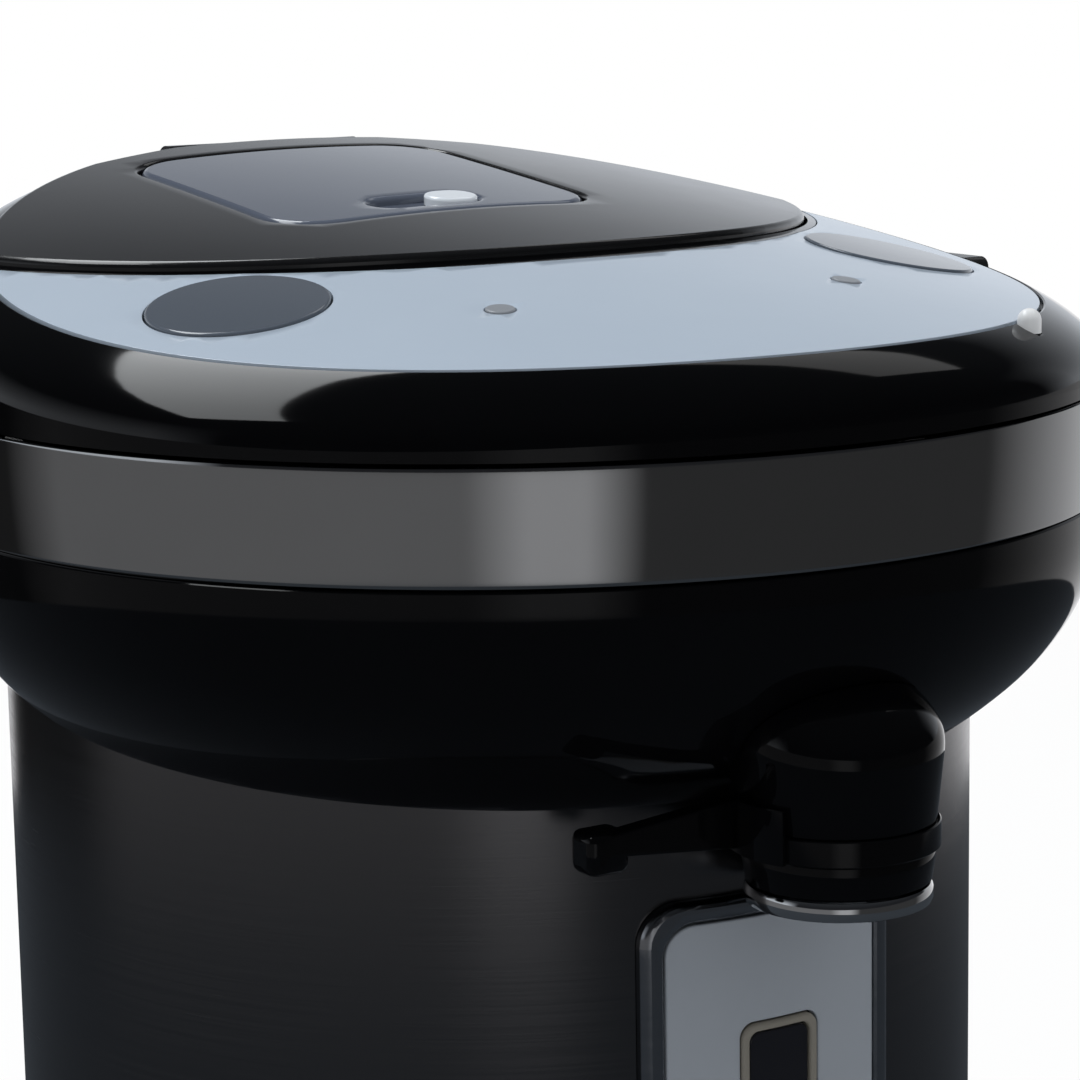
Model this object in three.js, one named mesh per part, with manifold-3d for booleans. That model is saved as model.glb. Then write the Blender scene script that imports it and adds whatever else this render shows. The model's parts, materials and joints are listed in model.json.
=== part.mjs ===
// Electric thermo pot: sprung spout head over a steel cased vessel, on a turning base.
// Millimetres, +Z up, front of the pot towards -Y, origin at the middle of the feet.
import * as THREE from 'three'
import { mergeVertices } from 'three/addons/utils/BufferGeometryUtils.js'
import Module from 'manifold-3d'

const wasm = await Module()
wasm.setup()

// Driving dimensions
const gap = 0.3                 // clearance between pieces that seat on each other
const overrun = 2               // how far a cutting tool runs past the face it cuts
const roundSteps = 40           // facets round the large shells
const smallSteps = 16           // facets round knobs, pins and tubes
const spoutSteps = 24
const mouthSteps = 28           // facets round the vessel's mouth
const bodyRadius = 100          // outer face of the steel casing
const casingWall = 1.2
const casingTop = 262
const footHeight = 3
const footRadius = 8
const footCircle = bodyRadius - 26
const plateRadius = bodyRadius - 12
const plateThick = 6
const studRadius = 14
const trayRadius = bodyRadius + 3
const trayTop = 46
const trayWall = 2.5
const trayRound = 5
const vesselRadius = bodyRadius - 11.5   // inner pot, outer face
const vesselWall = 1.2
const vesselBottom = 62
const headRadius = bodyRadius + 19       // black head, in plan
const headShift = 12            // the head sits this far forward of the body
const bandBottom = casingTop + 6.3
const bandTop = bandBottom + 21.7
const bandDepth = 3
const shellWall = 2.8
const rimRadius = headRadius - 13        // outer edge of the control panel
const rimFront = bandTop + 12.8 // height of the head's top edge at its front
const headSlope = 0.18          // rise of the top per millimetre towards the rear
const headFlatten = 0.0002      // and how that rise eases off
const headCrown = 0.001         // sideways crown of the top
const panelThick = 2
const panelDeck = 2.6           // how far the deck lies below the top, under the panel
const lidStep = 1.5             // the lid stands this far above the panel
const lidFrontRadius = 105      // the arc of the lid's front edge
const lidFrontCentre = 65       // that arc's centre, behind the body axis
const lidRear = rimRadius - 18
const lidCornerY = lidRear - 6  // the rear edge is chamfered from here to its straight part
const lidRearHalf = 26
const seam = 0.8                // visible gap round the lid and the panel
const cutBottom = bandTop - 50  // heights and reach that clear the head, for cutting tools
const cutTop = rimFront + 57
const cutReach = headRadius + 31

// Height of the head's top surface over a point in plan
const topAt = (x, y) => {
  const back = headRadius + headShift + y
  return rimFront + headSlope * back - headFlatten * back * back - headCrown * x * x
}

// Solids and meshes
const solidOf = (geometry) => {
  geometry.deleteAttribute('normal')
  geometry.deleteAttribute('uv')
  const merged = mergeVertices(geometry, 1e-4)
  const index = merged.index.array
  const kept = []
  for (let i = 0; i < index.length; i += 3) {
    const [a, b, c] = [index[i], index[i + 1], index[i + 2]]
    if (a !== b && b !== c && c !== a) kept.push(a, b, c)
  }
  const p = merged.attributes.position.array
  let volume = 0
  for (let i = 0; i < kept.length; i += 3) {
    const [a, b, c] = [kept[i] * 3, kept[i + 1] * 3, kept[i + 2] * 3]
    volume += p[a] * (p[b + 1] * p[c + 2] - p[b + 2] * p[c + 1])
      - p[a + 1] * (p[b] * p[c + 2] - p[b + 2] * p[c])
      + p[a + 2] * (p[b] * p[c + 1] - p[b + 1] * p[c])
  }
  if (volume < 0) kept.reverse()
  return new wasm.Manifold(new wasm.Mesh({
    numProp: 3,
    vertProperties: new Float32Array(p),
    triVerts: new Uint32Array(kept),
  }))
}

const geometryOf = (solid) => {
  const mesh = solid.getMesh()
  const geometry = new THREE.BufferGeometry()
  const position = new Float32Array(mesh.vertProperties)
  geometry.setAttribute('position', new THREE.BufferAttribute(position, 3))
  geometry.setIndex(new THREE.BufferAttribute(new Uint32Array(mesh.triVerts), 1))
  return geometry
}

// A profile of [radius, height] points turned about the vertical line over (x, y)
const turned = (profile, y = 0, steps = roundSteps, x = 0) => {
  const points = [...profile, profile[0]].map(([r, z]) => new THREE.Vector2(r, z))
  const geometry = new THREE.LatheGeometry(points, steps)
  geometry.rotateX(Math.PI / 2)
  geometry.translate(x, y, 0)
  return solidOf(geometry)
}

const disc = (radius, bottom, top, y = 0, steps = smallSteps) =>
  turned([[0, bottom], [radius, bottom], [radius, top], [0, top]], y, steps)

const tubeRing = (inner, outer, bottom, top, y = 0, steps = roundSteps) =>
  turned([[inner, bottom], [outer, bottom], [outer, top], [inner, top]], y, steps)

const block = (x0, x1, y0, y1, z0, z1) => {
  const geometry = new THREE.BoxGeometry(x1 - x0, y1 - y0, z1 - z0)
  geometry.translate((x0 + x1) / 2, (y0 + y1) / 2, (z0 + z1) / 2)
  return solidOf(geometry)
}

// A plan outline pulled up from bottom to top
const raised = (outline, bottom, top) => {
  const shape = new THREE.Shape(outline.map(([x, y]) => new THREE.Vector2(x, y)))
  const geometry = new THREE.ExtrudeGeometry(shape, { depth: top - bottom, bevelEnabled: false })
  geometry.translate(0, 0, bottom)
  return solidOf(geometry)
}

// A round rod along X
const crossRod = (radius, x0, x1, y, z, steps = smallSteps) => {
  const geometry = new THREE.CylinderGeometry(radius, radius, x1 - x0, steps)
  geometry.rotateZ(Math.PI / 2)
  geometry.translate((x0 + x1) / 2, y, z)
  return solidOf(geometry)
}

// A round rod along Y
const depthRod = (radius, y0, y1, x, z, steps = smallSteps) => {
  const geometry = new THREE.CylinderGeometry(radius, radius, y1 - y0, steps)
  geometry.translate(x, (y0 + y1) / 2, z)
  return solidOf(geometry)
}

// A round bar along a curve through points
const bentBar = (points, radius, sides = 10, steps = 28) => {
  const curve = new THREE.CatmullRomCurve3(points.map((p) => new THREE.Vector3(...p)), false, 'centripetal')
  const shape = new THREE.Shape(arcOf(0, 0, radius, 0, Math.PI * 2 * (1 - 1 / sides), sides - 1)
    .map(([x, y]) => new THREE.Vector2(x, y)))
  return solidOf(new THREE.ExtrudeGeometry(shape, { steps, extrudePath: curve, bevelEnabled: false }))
}

// Points along an arc, both ends included
const arcOf = (cx, cy, radius, from, to, steps) => {
  const points = []
  for (let i = 0; i <= steps; i++) {
    const angle = from + (to - from) * i / steps
    points.push([cx + radius * Math.cos(angle), cy + radius * Math.sin(angle)])
  }
  return points
}

const roundedRect = (cx, cy, halfX, halfY, radius, steps = 3) => {
  const quarter = Math.PI / 2
  return [[1, 1, 0], [-1, 1, 1], [-1, -1, 2], [1, -1, 3]].flatMap(([sx, sy, turn]) =>
    arcOf(cx + sx * (halfX - radius), cy + sy * (halfY - radius), radius, turn * quarter, (turn + 1) * quarter, steps))
}

// Adds the top surface's height to each vertex that lies below the flat limit
const flatLimit = casingTop / 2
const draped = (solid) => {
  const geometry = geometryOf(solid)
  const p = geometry.attributes.position
  for (let i = 0; i < p.count; i++) {
    if (p.getZ(i) < flatLimit) p.setZ(i, p.getZ(i) + topAt(p.getX(i), p.getY(i)))
  }
  return solidOf(geometry)
}

// A slab that follows the head's top, its faces measured from that top
const topSlab = (radius, below, above, rings = 4) => {
  const profile = []
  for (let i = 0; i <= rings; i++) profile.push([radius * i / rings, below])
  for (let i = rings; i >= 0; i--) profile.push([radius * i / rings, above])
  return draped(turned(profile, -headShift))
}

// A front outline of [x, z] points, pushed through the front of the body
const frontPrism = (outline, y0, y1) => {
  const shape = new THREE.Shape(outline.map(([x, z]) => new THREE.Vector2(x, z)))
  const geometry = new THREE.ExtrudeGeometry(shape, { depth: y1 - y0, bevelEnabled: false })
  geometry.rotateX(Math.PI / 2)
  geometry.translate(0, y1, 0)
  return solidOf(geometry)
}

// A disc centred over (x, y)
const discAt = (x, y, radius, bottom, top, steps = smallSteps) =>
  turned([[0, bottom], [radius, bottom], [radius, top], [0, top]], y, steps, x)

// A plan strip of constant width along a smooth line through points
const ribbon = (points, halfWidth, steps) => {
  const curve = new THREE.CatmullRomCurve3(points.map(([x, y]) => new THREE.Vector3(x, y, 0)), false, 'centripetal')
  const outer = []
  const inner = []
  for (let i = 0; i <= steps; i++) {
    const p = curve.getPointAt(i / steps)
    const t = curve.getTangentAt(i / steps)
    outer.push([p.x + t.y * halfWidth, p.y - t.x * halfWidth])
    inner.push([p.x - t.y * halfWidth, p.y + t.x * halfWidth])
  }
  return [...outer, ...inner.reverse()]
}

const colours = {
  black: [0x0b0b0d, 0.25, 0.0],
  darkPlastic: [0x1b1c1f, 0.6, 0.0],
  steel: [0x55565a, 0.38, 0.9],
  chrome: [0xb9bcc2, 0.12, 1.0],
  panel: [0xb4c0ce, 0.35, 0.1],
  plate: [0x5d6670, 0.3, 0.2],
  silver: [0xa9abb0, 0.3, 0.8],
  rubber: [0x222222, 0.9, 0.0],
  clear: [0xdfe6ea, 0.1, 0.0],
  beige: [0xb8ad98, 0.5, 0.0],
  white: [0xeeeeea, 0.4, 0.0],
  green: [0x1f5b3a, 0.6, 0.0],
}

const pot = new THREE.Group()
const add = (name, solid, finish, place = [0, 0, 0]) => {
  const geometry = geometryOf(solid)
  geometry.computeVertexNormals()
  const [color, roughness, metalness] = colours[finish]
  const mesh = new THREE.Mesh(geometry, new THREE.MeshStandardMaterial({ color, roughness, metalness }))
  mesh.name = name
  mesh.position.set(...place)
  pot.add(mesh)
}

// Turning base: feet, plate, washer and screw
const plateBottom = footHeight + gap
const plateTop = plateBottom + plateThick
const trayBottom = plateTop + gap
const trayFloor = trayBottom + trayWall
const studTop = trayFloor + gap
const washerRadius = 20
const washerTop = studTop + gap + 2
const screwRadius = 2.6
const screwHead = 5

const foot = disc(footRadius, 0, footHeight, 0, 16)
const footNames = ['rear_right', 'rear_left', 'front_left', 'front_right']
footNames.forEach((name, i) => {
  const angle = Math.PI / 4 + i * Math.PI / 2
  add('foot_' + name, foot, 'rubber', [footCircle * Math.cos(angle), footCircle * Math.sin(angle), 0])
})
add('swivel_plate', turned([[screwRadius + gap, plateBottom], [plateRadius - 2, plateBottom],
  [plateRadius, plateBottom + 2], [plateRadius, plateTop], [studRadius, plateTop], [studRadius, studTop],
  [screwRadius + gap, studTop]]), 'darkPlastic')
add('swivel_washer', tubeRing(screwRadius + gap, washerRadius, studTop + gap, washerTop, 0, smallSteps), 'silver')
add('swivel_screw', turned([[0, plateBottom + 1], [screwRadius, plateBottom + 1], [screwRadius, washerTop + gap],
  [screwHead, washerTop + gap], [screwHead, washerTop + 2.5], [0, washerTop + 2.5]], 0, smallSteps), 'silver')

// Base tray with its ledge for the casing and its opening for the power inlet
const inletHalf = 15
const inletBottom = 17
const inletTop = 36
const ledgeTop = 40
const ledgeInner = bodyRadius - 2.4
const seatRadius = bodyRadius + gap
const trayProfile = [
  [studRadius + gap, trayBottom],
  ...arcOf(trayRadius - trayRound, trayBottom + trayRound, trayRound, -Math.PI / 2, 0, 2),
  [trayRadius, trayTop - 1], [trayRadius - 1, trayTop], [seatRadius, trayTop], [seatRadius, ledgeTop],
  [ledgeInner, ledgeTop], [ledgeInner, ledgeTop - 3], [seatRadius, ledgeTop - 6], [seatRadius, trayFloor],
  [studRadius + gap, trayFloor]]
add('base_tray', turned(trayProfile).subtract(block(-inletHalf, inletHalf, bodyRadius - 10, trayRadius + overrun,
  inletBottom, inletTop)), 'black')

// Power inlet, a socket with three pins that faces the rear
const inletWall = 2.6
const inletFront = bodyRadius - 18
const inletFace = trayRadius + 1
add('inlet_housing', block(-inletHalf + gap, inletHalf - gap, inletFront, inletFace, inletBottom + gap, inletTop - gap)
  .subtract(block(-inletHalf + inletWall, inletHalf - inletWall, inletFront + inletWall, inletFace + overrun,
    inletBottom + inletWall, inletTop - inletWall)), 'darkPlastic')
const pinRadius = 2
const pinLength = 14
const pinBase = inletFront + inletWall + gap
const pin = depthRod(pinRadius, pinBase, pinBase + pinLength, 0, 0, 12)
add('inlet_pin_left', pin, 'silver', [-7, 0, 24])
add('inlet_pin_right', pin, 'silver', [7, 0, 24])
add('inlet_pin_earth', pin, 'silver', [0, 0, 29])

// Steel casing, with the slot behind the gauge and the hole that the outlet pipe passes
const gaugeBottom = 60
const gaugeTop = casingTop - 59
const gaugeHalf = 28.4
const windowHalf = 6.7
const windowBottom = gaugeBottom + 14
const windowTop = gaugeTop - 27.2
const tubeRadius = 3
const tubeForward = bodyRadius - 6.3
const pipeHeight = bandBottom - 16.3
const tubeTop = pipeHeight - 12
const casingBottom = ledgeTop + gap
const slotHalf = 5.2
const pipeHole = depthRod(tubeRadius + 1.6, -bodyRadius - 20, -bodyRadius + 20, 0, pipeHeight)
add('outer_casing', tubeRing(bodyRadius - casingWall, bodyRadius, casingBottom, casingTop)
  .subtract(frontPrism(roundedRect(0, (windowBottom + windowTop) / 2, slotHalf, (windowTop - windowBottom) / 2, 4),
    -bodyRadius - overrun, -bodyRadius + 8))
  .subtract(pipeHole), 'steel')

// Inner pot: an open steel vessel that hangs by its lip on the casing
const vesselRound = 8
const lipZ = casingTop + gap
add('inner_pot', turned([[0, vesselBottom],
  ...arcOf(vesselRadius - vesselRound, vesselBottom + vesselRound, vesselRound, -Math.PI / 2, 0, 2),
  [vesselRadius, lipZ], [bodyRadius - 1, lipZ], [bodyRadius - 1, lipZ + vesselWall],
  [vesselRadius - vesselWall, lipZ + vesselWall],
  ...arcOf(vesselRadius - vesselRound, vesselBottom + vesselRound, vesselRound - vesselWall, 0, -Math.PI / 2, 2),
  [0, vesselBottom + vesselWall]]), 'steel')

// Heater, thermostat, pump and hoses in the base
const heaterRadius = bodyRadius - 44
const heaterThick = 7
const heaterBottom = vesselBottom - gap - heaterThick
add('heater_plate', disc(heaterRadius, heaterBottom, vesselBottom - gap, 0, mouthSteps), 'silver')
add('thermostat', discAt(0, 22, 11, heaterBottom - gap - 7, heaterBottom - gap), 'darkPlastic')
const pumpForward = 46
const motorRadius = 14
const motorTop = 38
const pumpRadius = 20
const pumpTop = 50
const pumpPort = 43
const portLength = 18
add('pump_motor', discAt(0, -pumpForward, motorRadius, trayFloor + gap, motorTop), 'silver')
add('pump_head', discAt(0, -pumpForward, pumpRadius, motorTop + gap, pumpTop)
  .add(depthRod(4, -pumpForward - pumpRadius - portLength, -pumpForward, 0, pumpPort, 16)), 'darkPlastic')
add('riser_elbow', bentBar([[0, -pumpForward - pumpRadius - portLength - gap, pumpPort],
  [0, -tubeForward + 6, pumpPort], [0, -tubeForward, pumpPort + 6],
  [0, -tubeForward, windowBottom - 8 - gap]], tubeRadius, 8, 10), 'rubber')
add('feed_hose', bentBar([[66, -20, vesselBottom - gap], [66, -20, 54], [58, -28, 46], [44, -44, 44],
  [30, -pumpForward, 44], [pumpRadius + 2 * gap, -pumpForward, 44]], 3.6, 8, 14), 'rubber')
add('sight_tube', discAt(0, -tubeForward, tubeRadius, windowBottom - 8, tubeTop, 16), 'clear')
const spoutForward = bodyRadius + 20
const nozzleTop = pipeHeight - 16
const pipeBore = 9
add('outlet_pipe', bentBar([[0, -tubeForward, tubeTop + gap], [0, -tubeForward, tubeTop + 6],
  [0, -tubeForward - 5, pipeHeight],
  [0, -bodyRadius - 6, pipeHeight + 1], [0, -spoutForward + 4, pipeHeight - 1], [0, -spoutForward, pipeHeight - 8],
  [0, -spoutForward, nozzleTop + gap]], tubeRadius, 8, 20), 'rubber')
let board = block(-72, -32, -14, 46, trayFloor + 5, trayFloor + 6.6)
board = board.add(block(-66, -46, 12, 36, trayFloor + 6, trayFloor + 24))
  .add(block(-44, -36, -8, 8, trayFloor + 6, trayFloor + 18))
for (const [x, y] of [[-69, -11], [-35, -11], [-69, 43], [-35, 43]]) {
  board = board.add(discAt(x, y, 2.5, trayFloor + gap, trayFloor + 5.2, 12))
}
add('power_board', board, 'green')

// Water gauge on the front of the casing
const gaugeMiddle = (gaugeBottom + gaugeTop) / 2
const gaugeRise = (gaugeTop - gaugeBottom) / 2
const windowMiddle = (windowBottom + windowTop) / 2
const windowRise = (windowTop - windowBottom) / 2
const gaugeRim = 4.2
const borderRim = 2
const gaugeCut = (outline) => frontPrism(outline, -bodyRadius - 20, -bodyRadius + 20)
const gaugePiece = (outline, thick) =>
  tubeRing(seatRadius, bodyRadius + thick, gaugeBottom - 5, gaugeTop + 5).intersect(gaugeCut(outline))
add('gauge_frame', gaugePiece(roundedRect(0, gaugeMiddle, gaugeHalf, gaugeRise, 8), 2.8)
  .subtract(gaugeCut(roundedRect(0, gaugeMiddle, gaugeHalf - gaugeRim, gaugeRise - gaugeRim, 6))), 'silver')
add('gauge_face', gaugePiece(roundedRect(0, gaugeMiddle, gaugeHalf - gaugeRim - gap,
  gaugeRise - gaugeRim - gap, 5.7), 2.2).subtract(gaugeCut(roundedRect(0, windowMiddle,
  windowHalf + borderRim + gap, windowRise + borderRim + gap, 3))), 'plate')
add('window_border', gaugePiece(roundedRect(0, windowMiddle, windowHalf + borderRim, windowRise + borderRim, 3), 2.6)
  .subtract(gaugeCut(roundedRect(0, windowMiddle, windowHalf + gap, windowRise + gap, 2))), 'beige')
add('window_lens', gaugePiece(roundedRect(0, windowMiddle, windowHalf, windowRise, 2), 2), 'black')

// Lower head shell: a bowl that grips the casing and reaches forward over the spout
const bowlProfile = [[39, 49.3], [29, 46.1], [20, 39.9], [11.5, 31.9], [4.8, 21.9], [1.4, 11.3], [0.4, gap]]
  .map(([inward, down]) => [headRadius - inward, bandBottom - down])
const bandInner = headRadius - bandDepth
const lipOuter = bandInner - gap
const lipInner = lipOuter - 2.4
const bowlInner = bowlProfile.slice(0, -2).reverse().map(([r, z]) => [r - shellWall * 0.75, z + shellWall * 0.66])
const bowl = turned([...bowlProfile, [lipOuter, bandBottom - gap], [lipOuter, bandTop - 4], [lipInner, bandTop - 4],
  [lipInner, bandBottom - 5.3], ...bowlInner], -headShift)
const bodyTool = disc(seatRadius, gaugeTop - 50, cutTop, 0, roundSteps)
const bowlSolid = turned([[0, bowlProfile[0][1] - gap], ...bowlProfile.map(([r, z]) => [r + gap, z - gap]),
  [0, bandBottom]], -headShift)
add('lower_shell', bowl.subtract(bodyTool).subtract(discAt(0, -spoutForward, pipeBore, gaugeTop, casingTop)), 'black')

add('chrome_band', turned([[bandInner, bandBottom], [headRadius - 0.4, bandBottom], [headRadius, bandBottom + 0.6],
  [headRadius, bandTop - 0.9], [headRadius - 0.4, bandTop - gap], [bandInner, bandTop - gap]], -headShift), 'chrome')

// Lid outline in plan: a front arc, the head's circle at the sides, a straight rear edge with chamfers
const lidOutline = (grow) => {
  const side = rimRadius - gap + grow
  const arc = lidFrontRadius + grow
  const rear = lidRear + grow
  const corner = lidCornerY + grow
  const span = lidFrontCentre + headShift
  const fromHead = (side * side - arc * arc + span * span) / (2 * span)
  const sideAngle = Math.asin(fromHead / side)
  const frontAngle = Math.asin((fromHead - span) / arc)
  const rearAngle = Math.asin((corner + headShift) / side)
  const right = arcOf(0, -headShift, side, sideAngle, rearAngle, 7)
  const left = arcOf(0, -headShift, side, Math.PI - rearAngle, Math.PI - sideAngle, 7)
  const front = arcOf(0, lidFrontCentre, arc, Math.PI - frontAngle, Math.PI * 2 + frontAngle, 18)
  return [...right, [lidRearHalf + grow, rear], [-lidRearHalf - grow, rear], ...left, ...front.slice(1, -1)]
}

// Upper head shell: black rim with a sunk deck, a mouth for the lid and the hinge seat
const hingeY = lidRear + 7.5
const knuckleRadius = 5
const hingeZ = topAt(0, hingeY) - knuckleRadius
const knuckleHalf = 24
const hingePinRadius = 2.4
const lugHalf = 38
const deckBottom = panelDeck + 2.4
const deckRings = [3, 2, 1, 0].map((i) => (rimRadius - 26) * i / 3)
const upperProfile = [[bandInner + gap, bandTop + gap], [headRadius, bandTop + gap], [headRadius - 0.2, -2.8],
  [headRadius - 1.3, -0.8], [headRadius - 3.6, 0], [rimRadius + gap, 0],
  [rimRadius + gap, -panelDeck], ...deckRings.map((r) => [r, -panelDeck]),
  ...[...deckRings].reverse().map((r) => [r, -deckBottom]),
  [rimRadius + 2, -deckBottom], [bandInner + gap, -panelDeck - 6]]
const underTop = topSlab(headRadius - 1, -cutReach, -0.2)
const wellInset = -5
const pinBore = crossRod(hingePinRadius + gap, -lugHalf + 1.6, lugHalf - 1.6, hingeY, hingeZ)
const hingePocket = block(-knuckleHalf - 0.6, knuckleHalf + 0.6, lidRear - 28, hingeY + 6.5, hingeZ - 6.5, cutTop)
const hingeBlock = block(-lugHalf, lugHalf, lidRear + 2, lidRear + 16, hingeZ - 12, hingeZ + 20).intersect(underTop)
const buttonSide = 76
const buttonForward = 38
const buttonRadius = 17.25
const stemRadius = 3
const ledSide = 39.5
const ledForward = 71
const ledRadius = 2.8
const pilotX = 57.4
const pilotForward = 104.4
const pilotRadius = 2.3
const pilotSeat = topAt(pilotX, -pilotForward) - 1.5
let upper = draped(turned(upperProfile, -headShift)).subtract(raised(lidOutline(wellInset), cutBottom, cutTop))
  .add(hingeBlock).subtract(hingePocket).subtract(pinBore)
for (const side of [-1, 1]) {
  upper = upper.subtract(discAt(side * buttonSide, -buttonForward, stemRadius + gap, cutBottom, cutTop))
}
upper = upper.subtract(discAt(pilotX, -pilotForward, pilotRadius + gap, pilotSeat - gap, cutTop))
add('upper_shell', upper, 'black')

// Control panel, buttons and lamps
const panelRear = 26
let panel = topSlab(rimRadius, -panelThick, 0)
  .intersect(disc(rimRadius - gap, cutBottom, cutTop, -headShift, roundSteps))
  .subtract(raised(lidOutline(seam), cutBottom, cutTop))
  .subtract(block(-cutReach, cutReach, panelRear, cutReach, cutBottom, cutTop))
for (const side of [-1, 1]) {
  panel = panel.subtract(discAt(side * buttonSide, -buttonForward, buttonRadius + 0.4, cutBottom, cutTop, 28))
    .subtract(discAt(side * ledSide, -ledForward, ledRadius + gap, cutBottom, cutTop))
}
add('control_panel', panel, 'panel')
const buttonTravel = 1
const stemLength = 8
for (const [name, x] of [['left', -buttonSide], ['right', buttonSide]]) {
  const stemTop = topAt(x, -buttonForward)
  const cap = topSlab(rimRadius, -panelDeck + buttonTravel + 2 * gap, 0.5)
    .intersect(discAt(x, -buttonForward, buttonRadius, cutBottom, cutTop, 28))
  add(name + '_button', cap.add(discAt(x, -buttonForward, stemRadius, stemTop - stemLength, stemTop - 0.5, 16)),
    'silver')
}
for (const [name, x] of [['left', -ledSide], ['right', ledSide]]) {
  add(name + '_lamp', topSlab(rimRadius, -panelThick, 0.3)
    .intersect(discAt(x, -ledForward, ledRadius, cutBottom, cutTop, 16)), 'silver')
}
add('pilot_lens', turned([[0, pilotSeat], [pilotRadius, pilotSeat],
  ...arcOf(0, pilotSeat + 2.4, pilotRadius, 0, Math.PI / 2, 4).map(([r, z], i) => [i === 4 ? 0 : r, z])],
  -pilotForward, 20, pilotX), 'white')
const boardTop = rimFront - 4.8
let buttonBoard = block(-buttonSide - 8, buttonSide + 8, -buttonForward - 22, -buttonForward - 4,
  boardTop - 1.6, boardTop)
for (const side of [-1, 1]) {
  const x = side * buttonSide
  buttonBoard = buttonBoard.add(block(x - 6, x + 6, -buttonForward - 6, -buttonForward + 6, boardTop - 1.6,
    topAt(x, -buttonForward) - stemLength - buttonTravel - gap))
    .add(discAt(side * 30, -52, 3, boardTop - 0.2, topAt(30, -52) - deckBottom - 3 * gap, 12))
}
add('button_board', buttonBoard, 'green')

// Spout: black cup with a collar behind it, chrome ring, nozzle and lock lever
const cupRadius = 18.2
const cupBottom = pipeHeight - 42.8
const collarBottom = cupBottom + 17.2
const collarTop = cupBottom + 31.3
const cupBore = 14.6
const boreTop = cupBottom + 22.3
const collarForward = spoutForward - 14
const cupProfile = [[cupBore, cupBottom], [16.9, cupBottom], [cupRadius, cupBottom + 5.8],
  [cupRadius, collarBottom], [19.8, collarBottom + 3], [19.6, collarTop - 2], [16, collarTop],
  [pipeBore, collarTop], [pipeBore, boreTop + 2], [cupBore, boreTop]]
const collar = raised([...arcOf(0, -collarForward, 24, 0, Math.PI, 14),
  ...arcOf(0, -spoutForward, 19.6, Math.PI * 1.12, Math.PI * 1.88, 12)], collarBottom, collarTop)
  .subtract(discAt(0, -spoutForward, cupBore, cupBottom - overrun, boreTop, spoutSteps))
  .subtract(discAt(0, -spoutForward, pipeBore, cupBottom - overrun, casingTop))
add('spout_cover', turned(cupProfile, -spoutForward, spoutSteps).add(collar)
  .subtract(bowlSolid).subtract(disc(seatRadius + 0.2, gaugeTop - 50, cutTop, 0, roundSteps)), 'black')
add('spout_ring', turned([[cupBore, cupBottom - 3.8], [16.2, cupBottom - 4], [17.1, cupBottom - 3.4],
  [17.2, cupBottom - 0.6], [16.8, cupBottom - gap],
  [cupBore, cupBottom - gap]], -spoutForward, spoutSteps), 'chrome')
const flangeBottom = boreTop - 10.5
add('spout_nozzle', turned([[3.6, cupBottom - 2.2], [5.4, cupBottom - 2.2], [6.2, cupBottom + 4.8], [6.2, flangeBottom],
  [cupBore - gap, flangeBottom], [cupBore - gap, flangeBottom + 2.4], [6.2, flangeBottom + 2.4],
  [6.2, nozzleTop], [3.6, nozzleTop]], -spoutForward, smallSteps),
  'darkPlastic')
const leverInner = cupRadius + gap
const leverOuter = leverInner + 1.2
const leverTop = collarBottom - gap
const leverBottom = cupBottom + 6.4
const leverRingTop = leverBottom + 5.2
const leverFan = raised([...arcOf(0, -spoutForward, leverOuter, Math.PI * 0.83, Math.PI * 1.2, 6),
  ...arcOf(0, -spoutForward, leverInner, Math.PI * 1.2, Math.PI * 0.83, 6)], leverBottom, leverTop)
const lever = tubeRing(leverInner, leverOuter, leverBottom, leverRingTop, -spoutForward, spoutSteps).add(leverFan)
  .add(frontPrism([[-cupRadius, leverBottom], [-cupRadius, leverTop], [-42, leverTop - 3.3], [-42, leverTop - 7.3]],
    -spoutForward + 5, -spoutForward + 9))
  .add(block(-44.5, -36, -spoutForward + 5, -spoutForward + 13, leverBottom - 0.6, leverTop - 2.7))
add('spout_lever', lever, 'black')

// Vessel mouth and the well that the lid closes
const mouthBack = 25
const mouthRadius = 36
const mouthBottom = lipZ + vesselWall + gap
const mouthTop = mouthBottom + 3
const wellRadius = 57.5
const wellFloor = rimFront - 6.8
const wellWall = 2.2
add('mouth_ring', disc(bodyRadius - 1, mouthBottom, mouthTop, 0, roundSteps)
  .subtract(discAt(0, mouthBack, mouthRadius, mouthBottom - 1, mouthTop + 1, mouthSteps)), 'darkPlastic')
const underDeck = topSlab(headRadius - 1, -cutReach, -panelDeck)
const well = raised(lidOutline(wellInset - gap), wellFloor, cutTop)
  .subtract(raised(lidOutline(wellInset - gap - wellWall), wellFloor + wellWall, cutTop + overrun))
  .subtract(discAt(0, mouthBack, wellRadius, cutBottom, cutTop + overrun, mouthSteps))
  .add(tubeRing(wellRadius, wellRadius + wellWall, mouthTop + gap, wellFloor + 1, mouthBack, mouthSteps))
  .intersect(underDeck)
add('lid_well', well, 'darkPlastic')

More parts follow.
